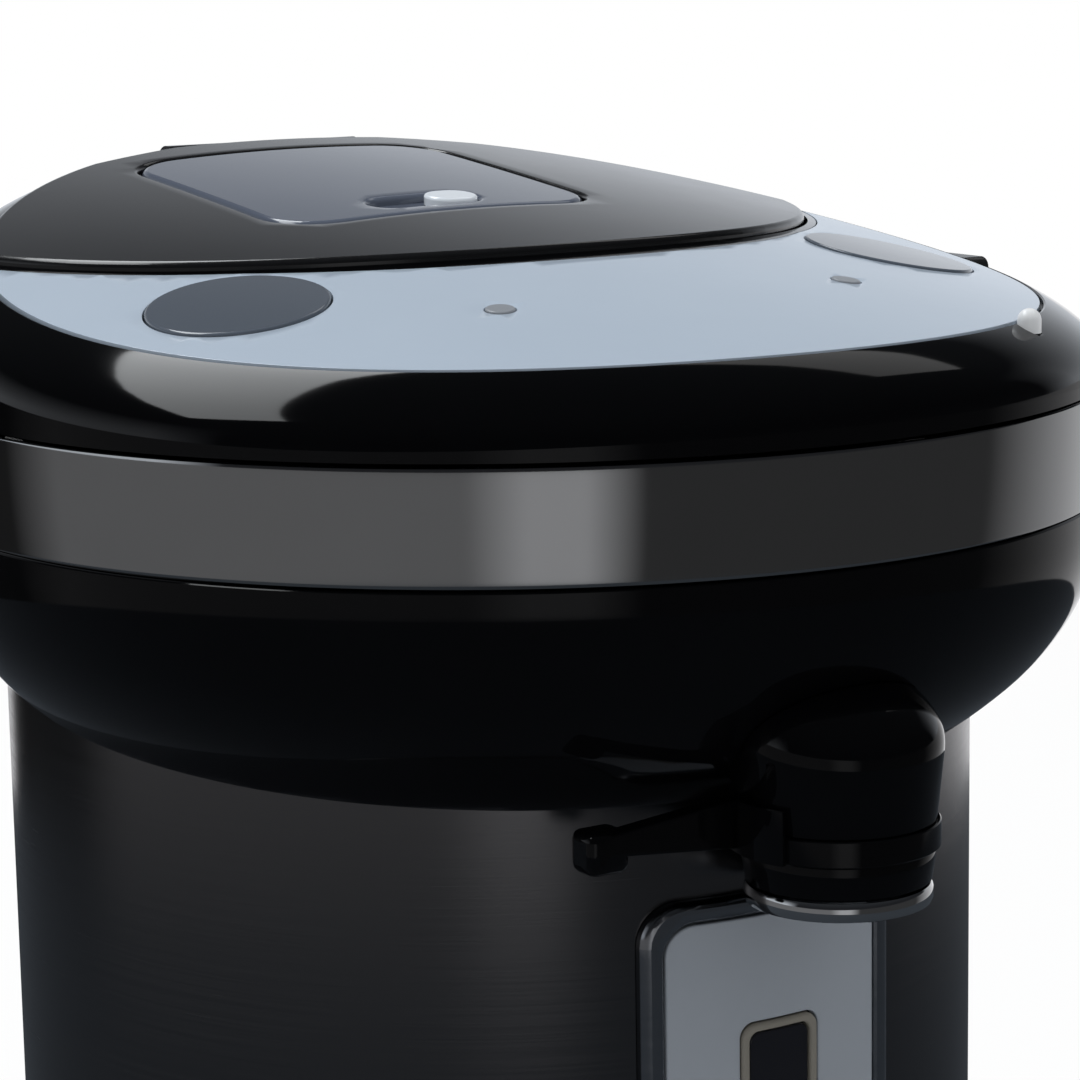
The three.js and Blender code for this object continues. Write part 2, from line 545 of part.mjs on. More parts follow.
// Lid: outer shell, inner plug with its gasket, pump plate, lock slider and bellows
const plateX = -8
const plateY = 36
const plateHalfX = 37
const plateHalfY = 38
const plateCorner = 12
const plateSkirt = 9
const plateTravel = 9
const plateWall = 2
const lidUnder = -panelDeck + gap
const lidHole = raised(roundedRect(plateX, plateY, plateHalfX + seam, plateHalfY + seam, plateCorner + seam),
  cutBottom, cutTop)
const lidTop = topSlab(rimRadius, -cutReach, lidStep)
let lid = topSlab(rimRadius, lidUnder, lidStep).intersect(raised(lidOutline(0), cutBottom, cutTop)).subtract(lidHole)
lid = lid.add(block(-knuckleHalf, knuckleHalf, lidRear - 4, hingeY, hingeZ - 2, hingeZ + 8).intersect(lidTop)
  .subtract(block(-lugHalf, lugHalf, lidRear, cutReach, hingeZ + 4, cutTop)))
  .add(crossRod(knuckleRadius, -knuckleHalf, knuckleHalf, hingeY, hingeZ))
  .subtract(crossRod(hingePinRadius + gap, -lugHalf, lugHalf, hingeY, hingeZ))
add('lid_shell', lid, 'black')
const plugBottom = mouthTop + 3.2
const plugRadius = 53.5
const plugFoot = 42
const plugWall = 2.4
const plug = turned([[0, plugBottom], [plugFoot, plugBottom], [plugRadius, wellFloor + 3], [plugRadius, cutTop],
  [plugRadius - plugWall, cutTop], [plugRadius - plugWall, wellFloor + 3.6], [plugFoot - 1.6, plugBottom + plugWall],
  [0, plugBottom + plugWall]], mouthBack, mouthSteps).intersect(underDeck)
  .subtract(raised(roundedRect(plateX, plateY, plateHalfX + 1.5, plateHalfY + 1.5, plateCorner + 1.5),
    wellFloor + 5.5, cutTop))
add('inner_lid', plug, 'darkPlastic')
add('lid_gasket', turned([[plugFoot - 7, mouthTop + gap], [plugFoot - 1, mouthTop + gap],
  [plugFoot - 1, plugBottom - gap], [plugFoot - 7, plugBottom - gap]], mouthBack, mouthSteps), 'rubber')
const plateSolid = raised(roundedRect(plateX, plateY, plateHalfX, plateHalfY, plateCorner), cutBottom, cutTop)
const plateHollow = raised(roundedRect(plateX, plateY, plateHalfX - plateWall, plateHalfY - plateWall,
  plateCorner - plateWall), cutBottom, cutTop)
const bellowsTop = wellFloor + 16
const bellowsRadius = 22
const knobX = -8.8
const knobY = 8
const recessHalf = 12.5
const recessWide = 5
const recessDepth = 1.8
const knobTravel = 13
const stadium = (x, y, halfLong, halfWide) => [
  ...arcOf(x + halfLong - halfWide, y, halfWide, -Math.PI / 2, Math.PI / 2, 6),
  ...arcOf(x - halfLong + halfWide, y, halfWide, Math.PI / 2, Math.PI * 1.5, 6)]
add('press_plate', topSlab(rimRadius, -plateSkirt, lidStep).intersect(plateSolid)
  .subtract(topSlab(rimRadius, -plateSkirt - overrun, lidStep - 3).intersect(plateHollow))
  .add(discAt(plateX, plateY, 10, bellowsTop + gap, topAt(plateX, plateY) - 0.4))
  .subtract(topSlab(rimRadius, lidStep - recessDepth, 20)
    .intersect(raised(stadium(knobX, knobY, recessHalf, recessWide), cutBottom, cutTop))), 'plate')
const knobHalf = recessHalf - gap - knobTravel / 2
add('lock_slider', topSlab(rimRadius, lidStep - recessDepth + gap, lidStep + 0.6)
  .intersect(raised(stadium(knobX + knobTravel / 2, knobY, knobHalf, recessWide - gap), cutBottom, cutTop)), 'silver')
const bellowsBottom = plugBottom + plugWall + gap
const folds = 4
const bellowsProfile = [[0, bellowsBottom]]
for (let i = 0; i < folds; i++) {
  const step = (bellowsTop - bellowsBottom) / folds
  bellowsProfile.push([bellowsRadius - 4, bellowsBottom + i * step], [bellowsRadius, bellowsBottom + (i + 0.5) * step])
}
bellowsProfile.push([bellowsRadius - 4, bellowsTop], [0, bellowsTop])
add('bellows', turned(bellowsProfile, plateY, 20, plateX), 'rubber')
add('hinge_pin', crossRod(hingePinRadius, -lugHalf + 2, lugHalf - 2, hingeY, hingeZ), 'silver')

// Carry handle, folded back round the head, with its two pivots
const pivotX = headRadius + 5.5
const pivotZ = rimFront - 4.3
const handleThick = 5
const handleHalf = 7.5
const handleReach = bodyRadius + 39.8 - handleThick / 2
const pivotRadius = 3
const handlePath = [[pivotX, -9], [pivotX, 30], [pivotX - 2.5, 60], [pivotX - 14.5, 94], [86, handleReach - 18.3],
  [50, handleReach - 3.8], [0, handleReach]]
const handleLine = [...handlePath, ...handlePath.slice(0, -1).reverse().map(([x, y]) => [-x, y])]
add('carry_handle', raised(ribbon(handleLine, handleThick / 2, 28), pivotZ - handleHalf, pivotZ + handleHalf)
  .subtract(crossRod(pivotRadius + gap, -cutReach, cutReach, 0, pivotZ)), 'black')
const handleInner = pivotX - handleThick / 2
const handleOuter = pivotX + handleThick / 2
const pivotCap = handleOuter + gap + 1.6
for (const [name, side] of [['left', -1], ['right', 1]]) {
  const stretch = ([radius, from, to]) => side > 0 ? crossRod(radius, from, to, 0, pivotZ)
    : crossRod(radius, -to, -from, 0, pivotZ)
  const [washer, shaft, cap] = [[6.5, headRadius + gap, handleInner - gap], [pivotRadius, headRadius + gap, pivotCap - 0.8],
    [6.5, handleOuter + gap, pivotCap]].map(stretch)
  add('handle_pivot_' + name, washer.add(shaft).add(cap), 'darkPlastic')
}

export default pot
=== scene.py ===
import bmesh
import bpy
import json
import math
from mathutils import Matrix, Vector

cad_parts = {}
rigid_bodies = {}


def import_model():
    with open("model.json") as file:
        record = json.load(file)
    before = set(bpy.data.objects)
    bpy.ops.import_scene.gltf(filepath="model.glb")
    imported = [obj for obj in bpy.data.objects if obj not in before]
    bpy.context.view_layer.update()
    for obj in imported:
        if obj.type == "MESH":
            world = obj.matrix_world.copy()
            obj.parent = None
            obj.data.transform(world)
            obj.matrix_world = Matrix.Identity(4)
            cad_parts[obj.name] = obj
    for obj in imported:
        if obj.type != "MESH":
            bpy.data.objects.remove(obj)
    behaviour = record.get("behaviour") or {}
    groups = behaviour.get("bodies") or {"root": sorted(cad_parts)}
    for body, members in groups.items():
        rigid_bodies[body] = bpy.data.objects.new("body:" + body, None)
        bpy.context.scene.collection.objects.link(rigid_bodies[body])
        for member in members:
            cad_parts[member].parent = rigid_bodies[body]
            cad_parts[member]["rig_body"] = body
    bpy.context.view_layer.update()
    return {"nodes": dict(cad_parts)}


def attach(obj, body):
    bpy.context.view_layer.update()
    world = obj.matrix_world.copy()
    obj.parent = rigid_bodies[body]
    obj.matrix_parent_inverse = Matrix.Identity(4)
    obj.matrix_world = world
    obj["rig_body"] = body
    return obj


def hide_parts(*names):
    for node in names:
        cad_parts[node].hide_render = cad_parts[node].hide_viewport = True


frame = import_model()
mm = 0.001
print("frame loaded")

# Sizes that several pieces share, in millimetres, as in the solids
pot = {
    "headRadius": 119, "headShift": 12, "rimFront": 302.8, "slope": 0.18, "flatten": 0.0002, "crown": 0.001, "gap": 0.3,
    "spoutForward": 120,
}
headCentre = (0, -pot["headShift"])
spoutCentre = (0, -pot["spoutForward"])
# Points lower than this, in millimetres, are heights above the sloping top
flatLimit = 100


def topAt(x, y):
    back = pot["headRadius"] + pot["headShift"] + y
    return pot["rimFront"] + pot["slope"] * back - pot["flatten"] * back * back - pot["crown"] * x * x


# Modelling helpers
def deselectAll():
    if bpy.context.object and bpy.context.object.mode != "OBJECT":
        bpy.ops.object.mode_set(mode="OBJECT")
    bpy.ops.object.select_all(action="DESELECT")


def choose(piece):
    deselectAll()
    piece.select_set(True)
    bpy.context.view_layer.objects.active = piece


def arc(cx, cy, radius, start, end, count):
    return [(cx + radius * math.cos(start + (end - start) * i / count),
             cy + radius * math.sin(start + (end - start) * i / count)) for i in range(count + 1)]


def roundedRect(cx, cy, halfX, halfY, radius, count=8):
    points = []
    for sx, sy, turn in ((1, 1, 0), (-1, 1, 1), (-1, -1, 2), (1, -1, 3)):
        points += arc(cx + sx * (halfX - radius), cy + sy * (halfY - radius), radius,
                      turn * math.pi / 2, (turn + 1) * math.pi / 2, count)
    return points


def filleted(points, closed=False, count=4):
    result = []
    n = len(points)
    for i, point in enumerate(points):
        radius = point[2] if len(point) > 2 else 0
        here = Vector(point[:2])
        if not radius or (not closed and i in (0, n - 1)):
            result.append(tuple(here))
            continue
        before, after = Vector(points[i - 1][:2]) - here, Vector(points[(i + 1) % n][:2]) - here
        angle = before.angle(after)
        reach = min(radius / math.tan(angle / 2), before.length * 0.49, after.length * 0.49)
        radius = reach * math.tan(angle / 2)
        middle = here + (before.normalized() + after.normalized()).normalized() * radius / math.sin(angle / 2)
        a = here + before.normalized() * reach - middle
        b = here + after.normalized() * reach - middle
        turn = a.angle_signed(b)
        for k in range(count + 1):
            result.append(tuple(middle + Matrix.Rotation(-turn * k / count, 2) @ a))
    return result


def finishMesh(piece, smoothAngle=35, doubles=2e-5):
    choose(piece)
    bpy.ops.object.transform_apply(location=True, rotation=True, scale=True)
    bpy.ops.object.mode_set(mode="EDIT")
    bpy.ops.mesh.select_all(action="SELECT")
    bpy.ops.mesh.remove_doubles(threshold=doubles)
    bpy.ops.mesh.normals_make_consistent(inside=False)
    bpy.ops.object.mode_set(mode="OBJECT")
    bpy.ops.object.shade_smooth_by_angle(angle=math.radians(smoothAngle))
    return piece


def turnedPiece(name, profile, centre=headCentre, steps=160, closed=False, smoothAngle=35):
    deselectAll()
    tiny = 0.001
    points = list(profile) + ([profile[0]] if closed else [])
    x, y = centre[0] * mm, centre[1] * mm
    radius, height = max(points[0][0], tiny), points[0][1]
    bpy.ops.mesh.primitive_circle_add(vertices=steps, radius=radius * mm, location=(x, y, height * mm))
    piece = bpy.context.object
    piece.name = piece.data.name = name
    bpy.ops.object.mode_set(mode="EDIT")
    bpy.ops.mesh.select_all(action="SELECT")
    for point in points[1:]:
        bpy.ops.mesh.extrude_edges_move(TRANSFORM_OT_translate={"value": (0, 0, (point[1] - height) * mm)})
        grow = max(point[0], tiny) / radius
        bpy.ops.transform.resize(value=(grow, grow, 1), center_override=(x, y, point[1] * mm))
        radius, height = max(point[0], tiny), point[1]
    return finishMesh(piece, smoothAngle)


def flatPiece(name, outline, bottom, top):
    deselectAll()
    bpy.ops.mesh.primitive_circle_add(vertices=len(outline), radius=0.05, fill_type="NGON", location=(0, 0, 0))
    piece = bpy.context.object
    piece.name = piece.data.name = name
    for vertex, point in zip(piece.data.vertices, outline):
        vertex.co = (point[0] * mm, point[1] * mm, bottom * mm)
    bpy.ops.object.mode_set(mode="EDIT")
    bpy.ops.mesh.select_all(action="SELECT")
    bpy.ops.mesh.extrude_region_move(TRANSFORM_OT_translate={"value": (0, 0, (top - bottom) * mm)})
    return finishMesh(piece)


def cut(piece, tool, operation="DIFFERENCE"):
    choose(piece)
    modifier = piece.modifiers.new("cut", "BOOLEAN")
    modifier.operation = operation
    modifier.solver = "EXACT"
    modifier.object = tool
    bpy.ops.object.modifier_apply(modifier="cut")
    bpy.data.objects.remove(tool, do_unlink=True)
    return piece


def pegTool(x, y, radius, bottom, top, steps=64):
    deselectAll()
    bpy.ops.mesh.primitive_cylinder_add(vertices=steps, radius=radius * mm, depth=(top - bottom) * mm,
                                        location=(x * mm, y * mm, (top + bottom) / 2 * mm))
    return finishMesh(bpy.context.object)


def blockTool(x0, x1, y0, y1, z0, z1, round=0):
    deselectAll()
    bpy.ops.mesh.primitive_cube_add(size=1, location=((x0 + x1) / 2 * mm, (y0 + y1) / 2 * mm, (z0 + z1) / 2 * mm),
                                    scale=((x1 - x0) * mm, (y1 - y0) * mm, (z1 - z0) * mm))
    tool = finishMesh(bpy.context.object)
    if round:
        bevelEdges(tool, round, lambda edge, normals: True)
    return tool


def rodTool(radius, start, end, steps=64):
    deselectAll()
    a, b = Vector(start) * mm, Vector(end) * mm
    bpy.ops.mesh.primitive_cylinder_add(vertices=steps, radius=radius * mm, depth=(b - a).length)
    tool = bpy.context.object
    tool.rotation_euler = (b - a).to_track_quat("Z", "Y").to_euler()
    tool.location = (a + b) / 2
    return finishMesh(tool)


def bevelEdges(piece, width, wanted, segments=3, smoothAngle=35):
    choose(piece)
    bpy.ops.object.mode_set(mode="EDIT")
    bpy.ops.mesh.select_mode(type="EDGE")
    bpy.ops.mesh.select_all(action="DESELECT")
    mesh = bmesh.from_edit_mesh(piece.data)
    for edge in mesh.edges:
        if len(edge.link_faces) == 2 and edge.calc_face_angle(0) > math.radians(40):
            normals = [face.normal for face in edge.link_faces]
            if wanted(edge, normals):
                edge.select = True
    mesh.select_flush_mode()
    bmesh.update_edit_mesh(piece.data)
    bpy.ops.mesh.bevel(offset=width * mm, segments=segments, profile=0.5, clamp_overlap=True)
    bpy.ops.object.mode_set(mode="OBJECT")
    bpy.ops.object.shade_smooth_by_angle(angle=math.radians(smoothAngle))
    return piece


def topEdges(edge, normals):
    return any(n.z > 0.9 for n in normals) and any(abs(n.z) < 0.3 for n in normals)


def gridCut(piece, spacing):
    choose(piece)
    corners = [piece.matrix_world @ Vector(c) for c in piece.bound_box]
    bpy.ops.object.mode_set(mode="EDIT")
    for axis in (0, 1):
        low, high = min(c[axis] for c in corners), max(c[axis] for c in corners)
        count = int((high - low) / (spacing * mm))
        for i in range(1, count + 1):
            place = [0, 0, 0]
            place[axis] = low + (high - low) * i / (count + 1)
            normal = [0, 0, 0]
            normal[axis] = 1
            bpy.ops.mesh.select_all(action="SELECT")
            bpy.ops.mesh.bisect(plane_co=place, plane_no=normal, threshold=1e-7)
    bpy.ops.object.mode_set(mode="OBJECT")
    return piece


def drape(piece, smoothAngle=35):
    for vertex in piece.data.vertices:
        if vertex.co.z < flatLimit * mm:
            vertex.co.z += topAt(vertex.co.x / mm, vertex.co.y / mm) * mm
    choose(piece)
    bpy.ops.object.mode_set(mode="EDIT")
    bpy.ops.mesh.select_all(action="SELECT")
    bpy.ops.mesh.normals_make_consistent(inside=False)
    bpy.ops.object.mode_set(mode="OBJECT")
    bpy.ops.object.shade_smooth_by_angle(angle=math.radians(smoothAngle))
    return piece


def joined(name, pieces):
    deselectAll()
    for piece in pieces:
        piece.select_set(True)
    bpy.context.view_layer.objects.active = pieces[0]
    bpy.ops.object.join()
    piece = bpy.context.object
    piece.name = piece.data.name = name
    return piece


def settle(piece, material, *nodes):
    piece.data.materials.clear()
    piece.data.materials.append(finishes[material])
    for polygon in piece.data.polygons:
        polygon.material_index = 0
    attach(piece, frame["nodes"][nodes[0]]["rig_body"])
    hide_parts(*nodes)
    print("made", piece.name, len(piece.data.polygons), "faces")
    return piece


# Materials
class Socket:
    def __init__(self, tree, link):
        self.tree, self.link = tree, link

    def math(self, operation, other=None, swap=False):
        node = self.tree.nodes.new("ShaderNodeMath")
        node.operation = operation
        inputs = [self, other] if not swap else [other, self]
        for place, value in zip(node.inputs, inputs):
            if isinstance(value, Socket):
                self.tree.links.new(value.link, place)
            elif value is not None:
                place.default_value = value
        return Socket(self.tree, node.outputs[0])

    def __add__(self, other): return self.math("ADD", other)
    def __radd__(self, other): return self.math("ADD", other)
    def __sub__(self, other): return self.math("SUBTRACT", other)
    def __rsub__(self, other): return self.math("SUBTRACT", other, True)
    def __mul__(self, other): return self.math("MULTIPLY", other)
    def __rmul__(self, other): return self.math("MULTIPLY", other)
    def __truediv__(self, other): return self.math("DIVIDE", other)
    def __gt__(self, other): return self.math("GREATER_THAN", other)
    def __lt__(self, other): return self.math("LESS_THAN", other)
    def power(self, other): return self.math("POWER", other)
    def clamped(self): return self.math("MULTIPLY", 1.0).limit()

    def limit(self):
        self.link.node.use_clamp = True
        return self


class Shader:
    def __init__(self, name, tree=None):
        if tree is None:
            self.material = bpy.data.materials.new(name)
            self.material.use_nodes = True
            tree = self.material.node_tree
        self.tree = tree
        self.surface = next((n for n in tree.nodes if n.type == "BSDF_PRINCIPLED"), None)

    def node(self, kind, settings=None, inputs=None, output=0):
        node = self.tree.nodes.new(kind)
        for key, value in (settings or {}).items():
            if key == "stops":
                ramp = node.color_ramp
                while len(ramp.elements) > 1:
                    ramp.elements.remove(ramp.elements[-1])
                for i, (place, colour) in enumerate(value):
                    stop = ramp.elements[0] if i == 0 else ramp.elements.new(place)
                    stop.position, stop.color = place, (*colour, 1)
            else:
                setattr(node, key, value)
        for key, value in (inputs or {}).items():
            place = node.inputs[key]
            if isinstance(value, Socket):
                self.tree.links.new(value.link, place)
            else:
                place.default_value = value
        return Socket(self.tree, node.outputs[output]) if node.outputs else node

    def set(self, **values):
        for key, value in values.items():
            place = self.surface.inputs[key.replace("_", " ")]
            if isinstance(value, Socket):
                self.tree.links.new(value.link, place)
            elif isinstance(value, tuple) and len(value) == 3:
                place.default_value = (*value, 1)
            else:
                place.default_value = value

    def place(self, scale=(1, 1, 1), rotation=(0, 0, 0), location=(0, 0, 0)):
        coordinates = self.node("ShaderNodeTexCoord", output="Object")
        return self.node("ShaderNodeMapping", None, {"Vector": coordinates, "Scale": scale, "Rotation": rotation,
                                                      "Location": location})

    def noise(self, scale, detail=3, vector=None, roughness=0.5):
        return self.node("ShaderNodeTexNoise", None, {"Vector": vector or self.place(), "Scale": scale,
                                                       "Detail": detail, "Roughness": roughness})

    def mix(self, factor, a, b):
        return self.node("ShaderNodeMix", {"data_type": "RGBA"}, {"Factor": factor, "A": a, "B": b}, "Result")

    def bump(self, height, strength, distance=0.0002):
        return self.node("ShaderNodeBump", None, {"Height": height, "Strength": strength, "Distance": distance})


def colour(values):
    return (*values, 1)


def mouldedPlastic(name, base, light, roughness, grain=900, relief=0.06, coat=0.0, spread=0.06, specular=0.5):
    shader = Shader(name)
    cloud = shader.noise(26, 4)
    grainHeight = shader.noise(grain, 2)
    smear = shader.noise(60, 5, roughness=0.65)
    shader.set(Base_Color=shader.mix(cloud, colour(base), colour(light)),
               Roughness=(smear * spread + (roughness - spread / 2)).clamped(),
               Normal=shader.bump(grainHeight, relief, 0.00005))
    shader.surface.inputs["Specular IOR Level"].default_value = specular
    shader.surface.inputs["Coat Weight"].default_value = coat
    shader.surface.inputs["Coat Roughness"].default_value = 0.06
    return shader.material


def brushedMetal(name, base, light, roughness, along=(14, 14, 2400), fine=(30, 30, 9000), relief=0.12):
    shader = Shader(name)
    streaks = shader.noise(1.0, 4, shader.place(scale=along), 0.7)
    hair = shader.noise(1.0, 2, shader.place(scale=fine), 0.6)
    cloud = shader.noise(9, 3)
    tone = (streaks * 0.75 + cloud * 0.25).clamped()
    shader.set(Base_Color=shader.mix(tone, colour(base), colour(light)), Metallic=1.0,
               Roughness=(streaks * 0.16 + (roughness - 0.08)).clamped(),
               Normal=shader.bump(hair * 0.6 + streaks * 0.4, relief, 0.00005))
    return shader.material


def polishedMetal(name, base, light, roughness):
    shader = Shader(name)
    cloud = shader.noise(40, 5, roughness=0.6)
    wave = shader.noise(14, 2)
    shader.set(Base_Color=shader.mix(cloud, colour(base), colour(light)), Metallic=1.0,
               Roughness=(cloud * 0.05 + roughness).clamped(),
               Normal=shader.bump(wave, 0.04, 0.0004))
    return shader.material


finishes = {
    "glossBlack": mouldedPlastic("glossBlack", (0.0012, 0.0012, 0.0015), (0.0020, 0.0021, 0.0026),
                                 0.06, 700, 0.012, spread=0.02, specular=0.2),
    "lidBlack": mouldedPlastic("lidBlack", (0.006, 0.0062, 0.007), (0.009, 0.0092, 0.010),
                               0.16, 1400, 0.03, spread=0.04, specular=0.5),
    "satinBlack": mouldedPlastic("satinBlack", (0.010, 0.0105, 0.011), (0.014, 0.0145, 0.015), 0.27, 1600, 0.10),
    "darkPlastic": mouldedPlastic("darkPlastic", (0.02, 0.021, 0.023), (0.03, 0.031, 0.034), 0.45, 2200, 0.25),
    "panelPrint": mouldedPlastic("panelPrint", (0.42, 0.49, 0.58), (0.45, 0.52, 0.61), 0.20, 1800, 0.02, 0.15),
    "slatePlate": mouldedPlastic("slatePlate", (0.085, 0.100, 0.135), (0.100, 0.115, 0.152),
                                 0.14, 1500, 0.015, 0.2, spread=0.03),
    "gaugeFace": mouldedPlastic("gaugeFace", (0.25, 0.272, 0.305), (0.28, 0.302, 0.335), 0.36, 2000, 0.05),
    "beigeTrim": mouldedPlastic("beigeTrim", (0.17, 0.155, 0.13), (0.20, 0.185, 0.155), 0.42, 2000, 0.08),
    "smokedLens": mouldedPlastic("smokedLens", (0.006, 0.006, 0.008), (0.010, 0.010, 0.013), 0.08, 1200, 0.01),
    "whiteLens": mouldedPlastic("whiteLens", (0.72, 0.73, 0.74), (0.80, 0.80, 0.81), 0.25, 1800, 0.04),
    "lampLens": mouldedPlastic("lampLens", (0.20, 0.215, 0.24), (0.25, 0.265, 0.29), 0.35, 1800, 0.05),
    "rubberBlack": mouldedPlastic("rubberBlack", (0.018, 0.018, 0.018), (0.03, 0.03, 0.03), 0.75, 3000, 0.5),
    "siliconeGrey": mouldedPlastic("siliconeGrey", (0.32, 0.32, 0.31), (0.40, 0.40, 0.39), 0.55, 2600, 0.2),
    "boardGreen": mouldedPlastic("boardGreen", (0.01, 0.07, 0.03), (0.02, 0.11, 0.05), 0.4, 1500, 0.1),
    "brushedSteel": brushedMetal("brushedSteel", (0.125, 0.122, 0.125), (0.185, 0.181, 0.184), 0.24),
    "bezelSilver": brushedMetal("bezelSilver", (0.28, 0.29, 0.31), (0.36, 0.37, 0.39),
                                0.20, (12, 12, 500), (30, 30, 3000), 0.04),
    "potSteel": brushedMetal("potSteel", (0.50, 0.50, 0.49), (0.60, 0.60, 0.59), 0.28, (10, 10, 900), (20, 20, 3000), 0.08),
    "smokedChrome": polishedMetal("smokedChrome", (0.36, 0.365, 0.37), (0.40, 0.405, 0.41), 0.045),
    "brightChrome": polishedMetal("brightChrome", (0.52, 0.53, 0.54), (0.58, 0.59, 0.60), 0.03),
    "keyGrey": mouldedPlastic("keyGrey", (0.080, 0.095, 0.120), (0.095, 0.112, 0.138), 0.12, 1500, 0.01, 0.3, spread=0.03),
    "knobSilver": mouldedPlastic("knobSilver", (0.66, 0.70, 0.75), (0.74, 0.78, 0.83), 0.18, 1500, 0.01, 0.4, spread=0.04),
}
print("materials ready")


# Turning base
base = {
    "foot": [(0, 0.5), (3, 0.5), (3.6, 0), (6.8, 0), (7.7, 0.4), (8, 1.2), (8, 3), (0, 3)],
    "footCircle": 74,
    "plate": [(2.9, 3.3), (86, 3.3), (87.4, 3.9), (88, 5.3), (88, 8.7), (87.4, 9.3), (14, 9.3), (13.9, 12.4), (2.9, 12.4)],
}
corners = {"foot_rear_right": (1, 1), "foot_rear_left": (-1, 1), "foot_front_left": (-1, -1), "foot_front_right": (1, -1)}
for node, (sx, sy) in corners.items():
    side = base["footCircle"] / math.sqrt(2)
    settle(turnedPiece("footRound" + node[4:].title().replace("_", ""), base["foot"], (sx * side, sy * side), 48),
           "rubberBlack", node)
settle(turnedPiece("turntable", base["plate"], (0, 0), closed=True), "darkPlastic", "swivel_plate")

# Base tray with the opening for the power inlet
tray = {
    "profile": [(14.3, 9.6)] + arc(98, 14.6, 5, -math.pi / 2, 0, 10) + [(103, 44.6)] + arc(102, 45, 1, 0, math.pi / 2, 4)
    + [(100.3, 46), (100.3, 40), (97.6, 40), (97.6, 37), (100.3, 34), (100.3, 12.1), (14.3, 12.1)],
    "inlet": (-15, 15, 90, 106, 17, 36),
}
trayPiece = turnedPiece("baseTrayRing", tray["profile"], (0, 0), closed=True)
cut(trayPiece, blockTool(*tray["inlet"]))
settle(trayPiece, "satinBlack", "base_tray")

# Power inlet housing
inlet = {"outer": (-14.7, 14.7, 82, 104, 17.3, 35.7), "hollow": (-12.4, 12.4, 84.6, 106, 19.6, 33.4), "edge": 0.8}
housing = blockTool(*inlet["outer"])
cut(housing, blockTool(*inlet["hollow"]))
bevelEdges(housing, inlet["edge"], lambda edge, normals: True, 2)
housing.name = housing.data.name = "inletSocket"
settle(housing, "darkPlastic", "inlet_housing")

# Steel casing with the sight slot and the outlet hole
casing = {"radius": 100, "wall": 1.2, "bottom": 40.3, "top": 262, "slot": (5.2, 74, 175.8), "hole": (4.6, 252)}
r, w = casing["radius"], casing["wall"]
sleeve = turnedPiece("steelCasing", [(r - w, casing["bottom"]), (r, casing["bottom"]), (r, 43), (r, 60), (r, 130), (r, 200),
                     (r, casing["top"]), (r - w, casing["top"])], (0, 0), 256, closed=True)
half, low, high = casing["slot"]
cut(sleeve, blockTool(-half, half, -r - 2, -r + 8, low, high))
cut(sleeve, rodTool(casing["hole"][0], (0, -r - 20, casing["hole"][1]), (0, -r + 20, casing["hole"][1])))
settle(sleeve, "brushedSteel", "outer_casing")

# Inner pot and mouth ring
vessel = {
    "outer": [(0, 62)] + arc(80.5, 70, 8, -math.pi / 2, 0, 8) + [(88.5, 262.3), (98.6, 262.3), (99, 262.7), (99, 263.5)],
    "inner": [(88.6, 263.5), (87.3, 262.4)] + arc(80.5, 70, 6.8, 0, -math.pi / 2, 8) + [(0, 63.2)],
    "mouth": 36, "mouthBack": 25, "ringBottom": 263.8, "ringTop": 266.8,
}
settle(turnedPiece("potVessel", vessel["outer"] + vessel["inner"], (0, 0)), "potSteel", "inner_pot")
mouthRing = flatPiece("mouthCollar", arc(0, 0, 99, 0, 2 * math.pi * 159 / 160, 159), vessel["ringBottom"], vessel["ringTop"])
cut(mouthRing, pegTool(0, vessel["mouthBack"], vessel["mouth"], 255, 275, 120))
bevelEdges(mouthRing, 0.6, topEdges, 2)
settle(mouthRing, "darkPlastic", "mouth_ring")


# Gauge on the front of the casing: flat outlines bent round it
def gaugePiece(name, outer, inner, lowRadius, thick, edge, spacing=2.0):
    piece = flatPiece(name, outer, 0, thick)
    if inner:
        cut(piece, flatPiece("hole", inner, -5, thick + 5))
    if edge:
        bevelEdges(piece, edge, lambda e, normals: any(n.z > 0.9 for n in normals), 3)
    gridCut(piece, spacing)
    for vertex in piece.data.vertices:
        x, z, y = vertex.co
        radius = lowRadius * mm + y
        vertex.co = (x, -math.sqrt(radius * radius - x * x), z)
    return finishMesh(piece, 30)


gauge = {"middle": 131.5, "rise": 71.5, "half": 28.4, "rim": 4.2, "windowMiddle": 124.9, "windowRise": 50.9,
         "windowHalf": 6.7, "border": 2.0, "radius": 100.3}
g = gauge
settle(gaugePiece("gaugeBezel", roundedRect(0, g["middle"], g["half"], g["rise"], 8),
                  roundedRect(0, g["middle"], g["half"] - g["rim"], g["rise"] - g["rim"], 6), g["radius"], 2.5, 1.4),
       "bezelSilver", "gauge_frame")
inset = g["rim"] + pot["gap"]
settle(gaugePiece("gaugePanel", roundedRect(0, g["middle"], g["half"] - inset, g["rise"] - inset, 5.7),
                  roundedRect(0, g["windowMiddle"], g["windowHalf"] + g["border"] + 0.3,
                              g["windowRise"] + g["border"] + 0.3, 3),
                  g["radius"], 1.9, 0.3), "gaugeFace", "gauge_face")
settle(gaugePiece("gaugeBorder",
                  roundedRect(0, g["windowMiddle"], g["windowHalf"] + g["border"], g["windowRise"] + g["border"], 3),
                  roundedRect(0, g["windowMiddle"], g["windowHalf"] + 0.3, g["windowRise"] + 0.3, 2), g["radius"], 2.3, 0.6),
       "beigeTrim", "window_border")
settle(gaugePiece("gaugeWindow", roundedRect(0, g["windowMiddle"], g["windowHalf"], g["windowRise"], 2), None,
                  g["radius"], 1.7, 0.3), "smokedLens", "window_lens")


